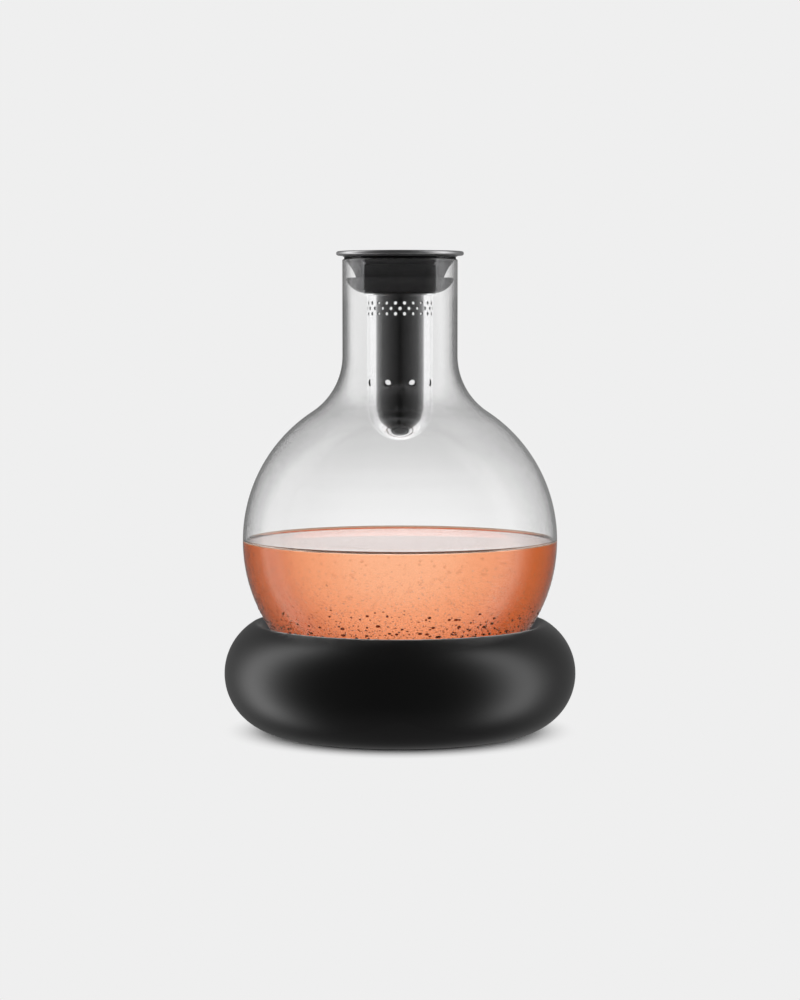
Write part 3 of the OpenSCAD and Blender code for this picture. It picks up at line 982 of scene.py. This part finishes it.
    def sprinkle(self, name: str, finish: bpy.types.Material, count: int, high: float,
                 widths: Point, steps: tuple[int, int], gather: float) -> None:
        """Scatters drops of water over the outside of the ball, more of them low down.

        Args:
            name: Name of the piece.
            finish: The material of the water.
            count: Rough number of drops.
            high: Level that they reach.
            widths: Smallest and largest radius of a drop, in millimetres.
            steps: Faces round and up a drop.
            gather: How strongly they gather low down.
        """
        recipe = Recipe(name.replace("_", " "), {"Low": 0.03, "High": 0.09, "Density": 1.0,
                                                 "Seed": 0, "Least": 0.1, "Most": 0.6}, True)
        ground = recipe.start.outputs["Geometry"]
        height = recipe.split(recipe.put("GeometryNodeInputPosition").outputs[0])["Z"]
        share = recipe.share(height, recipe.size("High"), recipe.size("Low"))
        dense = recipe.math("MULTIPLY", recipe.math("POWER", share, gather),
                            recipe.size("Density"))
        spots = recipe.put("GeometryNodeDistributePointsOnFaces", Mesh=ground, Density=dense,
                           Seed=recipe.size("Seed"))
        ball = recipe.put("GeometryNodeMeshUVSphere", Segments=steps[0], Rings=steps[1],
                          Radius=1.0)
        chance = recipe.put("FunctionNodeRandomValue", settings={"data_type": "FLOAT"},
                            Seed=recipe.size("Seed")).outputs[1]
        width = recipe.put("ShaderNodeMapRange",
                           Value=recipe.math("POWER", chance, self.small_share),
                           To_Min=recipe.size("Least"), To_Max=recipe.size("Most")).outputs[0]
        stretch = recipe.put("FunctionNodeRandomValue", None, None, *self.drop_stretch,
                             settings={"data_type": "FLOAT"},
                             Seed=self.stretch_seed).outputs[1]
        scale = recipe.vector(recipe.math("MULTIPLY", width, stretch), width,
                              recipe.math("MULTIPLY", width, self.drop_rise))
        set_down = recipe.put("GeometryNodeInstanceOnPoints", Points=spots.outputs["Points"],
                              Instance=ball.outputs["Mesh"],
                              Rotation=spots.outputs["Rotation"], Scale=scale)
        ring = Outline().arc(self.ball_mid, self.ball_r, self.round_a, 0)
        ring.points = [p for p in ring.points if self.dew_z <= p[1] <= high]
        low = ring.points[0][1]
        area = 2 * math.pi * self.ball_r * (high - low)
        piece = recipe.made(name, set_down.outputs[0], finish, self.band_mesh(ring.points),
                            Low=low, High=high, Density=count / area * (1 + gather),
                            Seed=self.drop_seed, Least=widths[0] * MM, Most=widths[1] * MM)
        fitted(piece, Body.CARAFE, Slot.DRINK)

    def band_mesh(self, points: Sequence[Point]) -> bpy.types.Mesh:
        """Open band of the ball's surface that the droplets sit on.

        Args:
            points: Its half section, from the bottom up.

        Returns:
            The mesh.
        """
        sectors = 96
        verts = [(r * math.cos(a), r * math.sin(a), z) for r, z in points
                 for a in (2 * math.pi * i / sectors for i in range(sectors))]
        faces = [(k * sectors + i, k * sectors + (i + 1) % sectors,
                  (k + 1) * sectors + (i + 1) % sectors, (k + 1) * sectors + i)
                 for k in range(len(points) - 1) for i in range(sectors)]
        mesh = bpy.data.meshes.new("cold_band")
        mesh.from_pydata(verts, [], faces)
        return mesh


@dataclass
class CoolingBase:
    """Black ring-shaped base with a well that holds the ball."""

    roll_r: float = 27.5 * MM
    shell_t: float = 2.2 * MM
    lip_round: float = 3 * MM
    well_gap: float = 3 * MM
    lip_turn: float = 4.0
    foot_lift: float = 0.8 * MM
    ball_r: float = BALL_R
    ball_z: float = 90.08 * MM
    hatch_gap: float = 0.05 * MM
    sectors: int = 256

    def __post_init__(self) -> None:
        """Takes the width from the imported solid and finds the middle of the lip's rounding."""
        low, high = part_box("base_shell")
        self.ring_r = (high.x - low.x) / 2 - self.roll_r
        self.well_r = self.ball_r + self.well_gap
        self.lip_mid = self.meet((self.ring_r, self.roll_r), self.roll_r - self.lip_round,
                                 (0.0, self.ball_z), self.well_r + self.lip_round)

    @staticmethod
    def meet(m: Point, r: float, n: Point, s: float) -> Point:
        """Outer one of the two points where two circles meet.

        Args:
            m: Middle of the first circle.
            r: Its radius.
            n: Middle of the second circle.
            s: Its radius.

        Returns:
            The point.
        """
        gap = Vector(n) - Vector(m)
        d = gap.length
        u = gap / d
        a = (r * r - s * s + d * d) / (2 * d)
        h = math.sqrt(r * r - a * a)
        return (m[0] + a * u.x + h * u.y, m[1] + a * u.y - h * u.x)

    def shell(self, finish: bpy.types.Material) -> None:
        """Turns the outer shell with its lip.

        Args:
            finish: The material of the shell.
        """
        roll, lip = (self.ring_r, self.roll_r), self.lip_mid
        ball = (0.0, self.ball_z)
        out_a = math.degrees(math.atan2(lip[1] - roll[1], lip[0] - roll[0]))
        in_a = math.degrees(math.atan2(ball[1] - lip[1], ball[0] - lip[0]))
        top_a = in_a - 180
        seam_a = top_a - self.lip_turn
        low_a = math.degrees(math.asin((self.foot_lift - self.roll_r) / self.roll_r))
        inner_r = self.roll_r - self.shell_t
        inner_a = math.degrees(math.asin((self.foot_lift + self.shell_t - self.roll_r) / inner_r))
        hatch_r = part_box("base_plate")[1].x + self.hatch_gap
        outline = Outline([(hatch_r, self.foot_lift)])
        outline.arc(roll, self.roll_r, low_a, out_a)
        outline.arc(lip, self.lip_round, out_a, in_a)
        outline.arc(ball, self.well_r, top_a, seam_a)
        outline.arc(ball, self.well_r + self.shell_t, seam_a, top_a)
        outline.arc(lip, self.lip_round - self.shell_t, in_a, out_a)
        outline.arc(roll, inner_r, out_a, inner_a)
        outline.to((hatch_r, self.foot_lift + self.shell_t))
        fitted(outline.turned("base_outer", finish, self.sectors), Body.BASE, Slot.BASE,
               "base_shell")

    def dress(self, looks: Finishes) -> None:
        """Gives the other pieces of the base their finish.

        Args:
            looks: The materials.
        """
        for node in ("base_well", "base_plate"):
            dress(node, looks.inner)
        dress("base_screws", looks.screw)
        dress("foot_ring", looks.foot)
        dress("seat_ring", looks.seal)
        dress("cooling_element", looks.cold)
        dress("filling_plug", looks.plug)


@dataclass
class PouringHead:
    """Stopper, steel pouring collar and flip lid."""

    neck_r: float = NECK_R
    lip_gap: float = 0.15 * MM
    wall: float = GLASS_T
    waist_r: float = 20.6 * MM
    band_h: float = 1 * MM
    waist_h: float = 8.75 * MM
    lower_edge: float = 0.7 * MM
    waist_bow: float = -0.055
    lip_bow: float = 0.135
    web_t: float = 1 * MM
    core_t: float = 0.9 * MM
    socket_r: float = 15.9 * MM
    throat_r: float = 14.6 * MM
    sheet_t: float = 0.8 * MM
    bead_r: float = 1.0 * MM
    cone_h: float = 3.85 * MM
    seat_in: float = 1 * MM
    dish_r: float = 18.9 * MM
    rim_bow: float = 0.08
    snug: float = 0.05 * MM

    def __post_init__(self) -> None:
        """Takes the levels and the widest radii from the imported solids."""
        seal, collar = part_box("stopper_seal"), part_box("pouring_collar")
        self.mouth_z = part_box("carafe_glass")[1].z
        self.bottom_z, self.collar_z = seal[0].z, seal[1].z
        self.flange_r = seal[1].x
        self.lip_r = self.neck_r - self.wall - self.lip_gap
        self.socket_z, self.rim_z = collar[0].z, collar[1].z
        self.rim_r = collar[1].x
        self.ledge_z = self.collar_z + self.sheet_t
        self.collar_r = self.neck_r - self.seat_in
        self.cone_z = self.ledge_z - self.cone_h
        lean = math.atan2(self.dish_r - self.throat_r, self.cone_h)
        self.cone_out_z = self.cone_z - self.sheet_t * math.tan(lean / 2)
        self.dish_out_r = self.dish_r + self.sheet_t * math.tan(math.pi / 4 - lean / 2)
        self.throat_out_r = self.throat_r + self.sheet_t

    def stopper(self, finish: bpy.types.Material) -> None:
        """Moulds the soft stopper with its two sealing lips.

        Args:
            finish: The material of the silicone.
        """
        mouth, snug = self.mouth_z, self.snug
        core_r = self.socket_r + self.core_t
        outline = Outline([(self.dish_out_r + snug, self.collar_z)])
        outline.to((self.flange_r, self.collar_z), (self.flange_r, mouth + self.lip_gap),
                   (self.lip_r, mouth + self.lip_gap), (self.lip_r, mouth - self.band_h))
        outline.bow((self.waist_r, mouth - self.waist_h), self.waist_bow)
        outline.to((self.lip_r - self.lower_edge, mouth - self.waist_h),
                   (self.lip_r, mouth - self.waist_h - self.lower_edge))
        outline.bow((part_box("ice_tube")[1].x, self.bottom_z), self.lip_bow)
        outline.to((self.socket_r, self.bottom_z), (self.socket_r, self.bottom_z + self.web_t),
                   (core_r + snug, self.bottom_z + self.web_t),
                   (core_r + snug, self.cone_out_z), (self.throat_out_r + snug, self.cone_out_z))
        fitted(outline.turned("stopper_lips", finish), Body.STOPPER, Slot.SILICONE, "stopper_seal")

    def collar(self, finish: bpy.types.Material) -> None:
        """Spins the steel collar with its rolled pouring rim.

        Args:
            finish: The material of the steel.
        """
        bead = (self.rim_r - self.bead_r, self.rim_z - self.bead_r)
        outline = Outline([(self.throat_r, self.socket_z), (self.throat_out_r, self.socket_z),
                           (self.throat_out_r, self.cone_out_z),
                           (self.dish_out_r, self.collar_z), (self.collar_r, self.collar_z)])
        outline.bow((bead[0], bead[1] - self.bead_r), self.rim_bow)
        outline.arc(bead, self.bead_r, -90, 90)
        outline.bow((self.collar_r - self.sheet_t, self.ledge_z), -self.rim_bow)
        outline.to((self.dish_r, self.ledge_z), (self.throat_r, self.cone_z))
        fitted(outline.turned("collar_spun", finish), Body.STOPPER, Slot.STEEL, "pouring_collar")

    def dress(self, looks: Finishes) -> None:
        """Gives the other pieces of the head their finish.

        Args:
            looks: The materials.
        """
        dress("stopper_core", looks.core)
        dress("lid_gasket", looks.seal)
        for node in ("hinge_bracket", "hinge_pin", "flip_lid", "lid_weight"):
            dress(node, looks.steel)


@dataclass
class IceTube:
    """Perforated steel tube with a round end, and the ring that plugs it in."""

    tube_r: float = 15.2 * MM
    wall: float = 0.6 * MM
    flange_t: float = 1 * MM
    small_count: int = 22
    small_rows: int = 3
    small_r: float = 0.84 * MM
    small_pitch: float = 2.5 * MM
    small_depth: float = 4.5 * MM
    large_count: int = 8
    large_r: float = 1.7 * MM
    large_depth: float = 42 * MM
    large_h: float = 6 * MM
    # Steps across and up a small hole's tile and up a large one's, and their rings of faces
    across: int = 8
    up: int = 4
    large_up: int = 10
    small_rings: int = 2
    large_rings: int = 5
    strip_steps: tuple[int, int, int, int] = (3, 24, 8, 40)
    crowding: float = 1.35
    seam_weld: float = 0.02 * MM
    wall_weld: float = 0.01 * MM
    soft: float = 0.25 * MM

    def __post_init__(self) -> None:
        """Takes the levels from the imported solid."""
        low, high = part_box("ice_tube")
        self.tube_z, self.flange_r = high.z, high.x
        self.dome_z = low.z + self.tube_r
        self.columns = self.small_count * self.across

    def tile(self, recipe: Recipe, across: int, up: int, width: float, height: float,
             radius: Socket, rings: int) -> Socket:
        """Flat sheet round one hole, with a rectangular outer edge.

        Args:
            recipe: The tree that it goes in.
            across: Number of steps along its top and its bottom.
            up: Number of steps along each side.
            width: Its width.
            height: Its height.
            radius: Radius of the hole.
            rings: Number of rings of faces between the hole and the edge.

        Returns:
            The sheet.
        """
        count = 2 * (across + up)
        half = count / 4
        rim = recipe.put("GeometryNodeMeshCircle", Vertices=count, Radius=1.0)
        step = recipe.put("GeometryNodeInputIndex").outputs[0]
        kept = recipe.put("GeometryNodeStoreNamedAttribute", rim.outputs[0], None, "step", step,
                          settings={"data_type": "FLOAT", "domain": "POINT"})
        sheet, chosen = kept.outputs[0], None
        for ring in range(1, rings + 1):
            grown = recipe.put("GeometryNodeExtrudeMesh", Mesh=sheet, Offset_Scale=0.0,
                               settings={"mode": "EDGES"})
            if chosen is not None:
                recipe.feed(grown.inputs["Selection"], chosen)
            chosen = grown.outputs["Top"]
            sheet = recipe.put("GeometryNodeStoreNamedAttribute", grown.outputs["Mesh"], chosen,
                               "share", ring / rings,
                               settings={"data_type": "FLOAT", "domain": "POINT"}).outputs[0]
        index = recipe.put("GeometryNodeInputNamedAttribute", "step",
                           settings={"data_type": "FLOAT"}).outputs[0]
        share = recipe.put("GeometryNodeInputNamedAttribute", "share",
                           settings={"data_type": "FLOAT"}).outputs[0]

        def out(steps_off: Socket, steps: int, length: float) -> Socket:
            """How far out the outer edge is, by its steps from the middle of a side."""
            near = recipe.math("MINIMUM", steps_off,
                               recipe.math("SUBTRACT", float(count), steps_off))
            way = recipe.math("DIVIDE", recipe.math("SUBTRACT", half, near), steps / 2)
            return recipe.math("MULTIPLY", recipe.clamped(way), length / 2)

        off_top = recipe.math("ABSOLUTE", recipe.math("SUBTRACT", index, half))
        edge = recipe.vector(out(index, across, width), out(off_top, up, height))
        turn = recipe.math("MULTIPLY", index, 2 * math.pi / count)
        hole = recipe.vector(*recipe.polar(turn, radius))
        mixed = recipe.put("ShaderNodeMix", settings={"data_type": "VECTOR"})
        recipe.feed(mixed.inputs[0], recipe.math("POWER", share, self.crowding))
        recipe.feed(mixed.inputs[4], hole)
        recipe.feed(mixed.inputs[5], edge)
        return recipe.put("GeometryNodeSetPosition", sheet, None, mixed.outputs[1]).outputs[0]

    def row(self, recipe: Recipe, tile: Socket, count: int, phase: float, z: Any) -> Socket:
        """One row of holes laid out flat.

        Args:
            recipe: The tree that it goes in.
            tile: The sheet round one hole.
            count: Number of holes.
            phase: Place of the first hole, in steps of the row.
            z: Height of the row.

        Returns:
            The row.
        """
        pitch = 2 * math.pi * self.tube_r / count
        line = recipe.put("GeometryNodeMeshLine", Count=count,
                          Start_Location=recipe.vector(phase * pitch, z),
                          Offset=(pitch, 0.0, 0.0))
        return recipe.put("GeometryNodeInstanceOnPoints", Points=line.outputs[0],
                          Instance=tile).outputs[0]

    def strip(self, recipe: Recipe, low: float, high: float, steps: int) -> Socket:
        """Plain sheet between two heights, laid out flat.

        Args:
            recipe: The tree that it goes in.
            low: Its lower edge.
            high: Its upper edge.
            steps: Number of faces up it.

        Returns:
            The sheet.
        """
        round_way = 2 * math.pi * self.tube_r
        sheet = recipe.put("GeometryNodeMeshGrid", Size_X=round_way, Size_Y=high - low,
                           Vertices_X=self.columns + 1, Vertices_Y=steps + 1).outputs[0]
        return recipe.put("GeometryNodeTransform", Geometry=sheet,
                          Translation=(round_way / 2, (low + high) / 2, 0.0)).outputs[0]

    def wrapped(self, recipe: Recipe, sheet: Socket) -> Socket:
        """Rolls the flat sheet into the inside of the tube, with its round end.

        Args:
            recipe: The tree that it goes in.
            sheet: The flat sheet.

        Returns:
            The rolled sheet.
        """
        inner = self.tube_r - self.wall
        spot = recipe.split(recipe.put("GeometryNodeInputPosition").outputs[0])
        turn = recipe.math("SUBTRACT", recipe.math("DIVIDE", spot["X"], self.tube_r),
                           math.pi / 2)
        below = recipe.math("MAXIMUM", recipe.math("SUBTRACT", self.dome_z, spot["Y"]), 0.0)
        radius, drop = recipe.polar(recipe.math("DIVIDE", below, self.tube_r), inner)
        level = recipe.math("MAXIMUM", spot["Y"], self.dome_z)
        rolled = recipe.put("GeometryNodeSetPosition", sheet, None,
                            recipe.vector(*recipe.polar(turn, radius),
                                          recipe.math("SUBTRACT", level, drop)))
        return recipe.put("GeometryNodeMergeByDistance", Geometry=rolled.outputs[0],
                          Distance=self.seam_weld).outputs[0]

    def thickened(self, recipe: Recipe, sheet: Socket) -> Socket:
        """Gives the rolled sheet its thickness, outwards from the inner face.

        Args:
            recipe: The tree that it goes in.
            sheet: The inner face.

        Returns:
            The closed wall.
        """
        grow = self.tube_r / (self.tube_r - self.wall)
        out = recipe.put("GeometryNodeExtrudeMesh", Mesh=sheet, Offset_Scale=0.0,
                         Individual=False, settings={"mode": "FACES"})
        spot = recipe.split(recipe.put("GeometryNodeInputPosition").outputs[0])
        under = recipe.math("MINIMUM", recipe.math("SUBTRACT", spot["Z"], self.dome_z), 0.0)
        wide = recipe.vector(*(recipe.math("MULTIPLY", spot[way], grow) for way in "XY"),
                             recipe.math("MULTIPLY_ADD", under, grow - 1, spot["Z"]))
        outer = recipe.put("GeometryNodeSetPosition", out.outputs["Mesh"], out.outputs["Top"],
                           wide)
        inside = recipe.put("GeometryNodeFlipFaces", sheet).outputs[0]
        return recipe.put("GeometryNodeMergeByDistance",
                          Geometry=recipe.joined(outer.outputs[0], inside),
                          Distance=self.wall_weld).outputs[0]

    def body(self, finish: bpy.types.Material) -> None:
        """Rolls, punches and closes the tube.

        Args:
            finish: The material of the steel.
        """
        recipe = Recipe("punched tube", {"Small hole": self.small_r, "Large hole": self.large_r})
        small_w = 2 * math.pi * self.tube_r / self.small_count
        large_w = 2 * math.pi * self.tube_r / self.large_count
        small = self.tile(recipe, self.across, self.up, small_w, self.small_pitch,
                          recipe.size("Small hole"), self.small_rings)
        large = self.tile(recipe, self.columns // self.large_count, self.large_up, large_w,
                          self.large_h, recipe.size("Large hole"), self.large_rings)
        first_z = self.tube_z - self.small_depth
        rows = [self.row(recipe, small, self.small_count, 1.0 if k % 2 else 0.5,
                         first_z - k * self.small_pitch) for k in range(self.small_rows)]
        large_z = self.tube_z - self.large_depth
        rows.append(self.row(recipe, large, self.large_count, 0.5, large_z))
        high, low = first_z + self.small_pitch / 2, large_z + self.large_h / 2
        under = first_z - (self.small_rows - 0.5) * self.small_pitch
        end = self.dome_z - self.tube_r * math.pi / 2
        plain = ((high, self.tube_z - self.flange_t), (low, under),
                 (self.dome_z, large_z - self.large_h / 2), (end, self.dome_z))
        strips = [self.strip(recipe, *span, steps)
                  for span, steps in zip(plain, self.strip_steps)]
        flat = recipe.put("GeometryNodeRealizeInstances", recipe.joined(*rows, *strips))
        wall = self.thickened(recipe, self.wrapped(recipe, flat.outputs[0]))
        piece = recipe.made("tube_punched", wall, finish, Small_hole=self.small_r,
                            Large_hole=self.large_r)
        fitted(piece, Body.ICE_CORE, Slot.STEEL, "ice_tube")

    def flange(self, finish: bpy.types.Material) -> None:
        """Turns the flange that the tube hangs from.

        Args:
            finish: The material of the steel.
        """
        inner, low, soft = self.tube_r - self.wall, self.tube_z - self.flange_t, self.soft
        outline = Outline([(inner, low)])
        outline.arc((self.flange_r - soft, low + soft), soft, -90, 0)
        outline.arc((self.flange_r - soft, self.tube_z - soft), soft, 0, 90)
        outline.to((inner, self.tube_z))
        fitted(outline.turned("tube_flange", finish, self.columns), Body.ICE_CORE, Slot.STEEL)

    def dress(self, looks: Finishes) -> None:
        """Gives the plug-in ring and its cord their finish."""
        dress("tube_ring", looks.inner)
        dress("tube_cord", looks.seal)


@dataclass(frozen=True)
class SoftBox:
    """A square lamp: its name, its middle, its width in metres and its power in watts."""

    name: str
    place: tuple[float, float, float]
    width: float
    power: float


@dataclass
class Studio:
    """Pale floor and backdrop, soft lamps and the camera."""

    # Backdrop to the eye and through glass, then what gloss mirrors above and below
    pale: float = 0.863
    through: float = 1.16
    ceiling: float = 0.04
    ground: float = 0.10
    # What gloss mirrors all round deep in the glass: angles from the front with their tones
    room: tuple[Point, ...] = ((0, 0.008), (36, 0.06), (64, 0.13), (80, 0.33), (90, 0.68),
                               (96, 1.7), (127, 1.7), (138, 1.5), (160, 1.5), (170, 1.75),
                               (180, 1.8))
    # Its one tone just inside the glass, and its tones outside
    hushed: float = 0.5
    side_boxes: tuple[Point, ...] = ((0, 0.01), (40, 0.02), (65, 0.09), (82, 0.9), (90, 2.2),
                                     (104, 2.2), (114, 0.55), (128, 0.2), (160, 0.2),
                                     (180, 0.3))
    boxes_turn: float = 10.0
    # Rise of the light's way where those tones fade into the ceiling, and into the ground
    over: Point = (0.75, 0.98)
    under: Point = (-0.50, -0.92)
    under_tube: Point = (-0.86, -0.98)
    # Transmission Depth above which light has passed the glass and reached the tube
    past_glass: float = 3.0
    floor_half: float = 6.0
    floor_albedo: float = 0.80
    floor_least: float = 0.995
    # Distances from the axis between which the floor fades into the backdrop
    blend_from: float = 0.056
    blend_to: float = 0.0846
    lens: float = 93.6
    distance: float = 1.222
    eye_z: float = 0.196
    pitch: float = 4.07
    aim_z: float = 0.08
    boxes: tuple[SoftBox, ...] = (SoftBox("left_box", (-0.75, 0.12, 0.82), 0.5, 2.2),
                                  SoftBox("right_box", (0.75, 0.12, 0.82), 0.5, 2.2),
                                  SoftBox("overhead_box", (0.0, 0.1, 1.3), 0.9, 1.5))

    def camera(self) -> None:
        """Sets the camera up at the photograph's angle."""
        data = bpy.data.cameras.new("view")
        data.lens, data.sensor_width, data.sensor_fit = self.lens, 36.0, "AUTO"
        data.clip_start, data.clip_end = 0.05, 50.0
        eye = bpy.data.objects.new("view", data)
        eye.location = (0.0, -self.distance, self.eye_z)
        eye.rotation_euler = (math.radians(90 - self.pitch), 0.0, 0.0)
        bpy.context.scene.collection.objects.link(eye)
        bpy.context.scene.camera = eye

    def floor(self) -> None:
        """Lays the floor, which fades into the backdrop's own tone away from the object."""
        half = self.floor_half
        mesh = bpy.data.meshes.new("floor")
        corners = [(-half, -half, 0.0), (half, -half, 0.0), (half, half, 0.0), (-half, half, 0.0)]
        mesh.from_pydata(corners, [], [(0, 1, 2, 3)])
        ground = bpy.data.objects.new("floor", mesh)
        bpy.context.scene.collection.objects.link(ground)
        paint = Paint("pale floor", Roughness=0.9, Specular_IOR_Level=0.1)
        paint.give("Base Color", paint.dimmed(paint.noise(paint.place, 30.0, detail=3.0),
                                              (self.floor_albedo,) * 3, self.floor_least,
                                              (0.3, 0.7)))
        away = paint.share(paint.vector_math("LENGTH", paint.place)["Value"], self.blend_from,
                           self.blend_to, smooth=True)
        path = paint.put("ShaderNodeLightPath").outputs
        glow = paint.put("ShaderNodeEmission", self.backdrop_tone(paint, path)).outputs[0]
        near = paint.put("ShaderNodeMixShader", away, paint.shader.outputs[0], glow)
        paint.clear_to_mirrors(near.outputs[0])
        mesh.materials.append(paint.material)

    def backdrop_tone(self, tree: Tree, path: Any) -> Socket:
        """The backdrop's tone by a tree's light path, paler where it is seen through glass."""
        return tree.mixed(path["Is Transmission Ray"], grey(self.pale), grey(self.through))

    def walls(self, tree: Tree, way: Socket, tones: Sequence[Point], turned: float) -> Socket:
        """Tones round the room, from the front to the back.

        Args:
            tree: The world's tree.
            way: The level direction that light comes from.
            tones: Angles from the front in degrees, each with its tone.
            turned: Angle that the room is turned by, in degrees.

        Returns:
            The tone.
        """
        lean = math.radians(turned)
        front = (-math.sin(lean), -math.cos(lean), 0.0)
        angle = tree.math("ARCCOSINE", tree.vector_math("DOT_PRODUCT", way, front)["Value"])
        return tree.tones(tree.share(angle, 0.0, math.pi), tones, high=180.0, ease=False)

    def world(self) -> None:
        """Makes the backdrop: pale to the eye, with side boxes and a dark room for gloss."""
        world = bpy.data.worlds.new("studio")
        bpy.context.scene.world = world
        world.use_nodes = True
        world.node_tree.nodes.clear()
        tree = Tree(world.node_tree)
        aim = tree.split(tree.put("ShaderNodeTexCoord").outputs["Generated"])
        way = tree.vector_math("NORMALIZE", tree.vector(aim["X"], aim["Y"]))["Vector"]
        path = tree.put("ShaderNodeLightPath").outputs
        boxes = self.walls(tree, way, self.side_boxes, self.boxes_turn)
        skin = tree.mixed(path["Transmission Depth"], boxes, grey(self.hushed))
        room = self.walls(tree, way, self.room, 0.0)
        outer = tree.mixed(tree.share(aim["Z"], *self.under, smooth=True), skin,
                           grey(self.ground))
        inner = tree.mixed(tree.share(aim["Z"], *self.under_tube, smooth=True), room,
                           grey(self.ground))
        deep = tree.math("GREATER_THAN", path["Transmission Depth"], self.past_glass)
        gloss = tree.mixed(tree.share(aim["Z"], *self.over, smooth=True),
                           tree.mixed(deep, outer, inner), grey(self.ceiling))
        mirrored = tree.math("GREATER_THAN", path["Glossy Depth"], MIRRORED)
        shine = tree.put("ShaderNodeBackground", gloss).outputs[0]
        pale = tree.put("ShaderNodeBackground", self.backdrop_tone(tree, path)).outputs[0]
        both = tree.put("ShaderNodeMixShader", mirrored, pale, shine).outputs[0]
        tree.put("ShaderNodeOutputWorld", both)

    def lamps(self) -> None:
        """Hangs the soft boxes, which point at the carafe and light it unseen."""
        for box in self.boxes:
            data = bpy.data.lights.new(box.name, "AREA")
            data.shape, data.size, data.size_y = "RECTANGLE", box.width, box.width
            data.energy = box.power
            lamp = bpy.data.objects.new(box.name, data)
            lamp.location = box.place
            lamp.visible_glossy = lamp.visible_transmission = lamp.visible_camera = False
            aim = Vector((0.0, 0.0, self.aim_z)) - Vector(box.place)
            lamp.rotation_euler = aim.to_track_quat("-Z", "Y").to_euler()
            bpy.context.scene.collection.objects.link(lamp)


def main() -> None:
    """Builds the carafe, piece by piece, and the studio round it."""
    logging.basicConfig(level=logging.INFO, format="%(name)s: %(message)s")
    bpy.context.scene.view_settings.view_transform = "Standard"
    studio = Studio()
    studio.camera()
    carafe = GlassCarafe()
    looks = Finishes(carafe.level, carafe.foot_z, carafe.meniscus_h)
    base = CoolingBase()
    base.shell(looks.base)
    base.dress(looks)
    carafe.glass(looks.glass)
    carafe.drink(looks.drink)
    carafe.water(looks.drop, looks.bead)
    head = PouringHead()
    head.stopper(looks.silicone)
    head.collar(looks.satin)
    head.dress(looks)
    tube = IceTube()
    tube.body(looks.steel)
    tube.flange(looks.steel)
    tube.dress(looks)
    studio.floor()
    studio.world()
    studio.lamps()


if __name__ == "__main__":
    main()
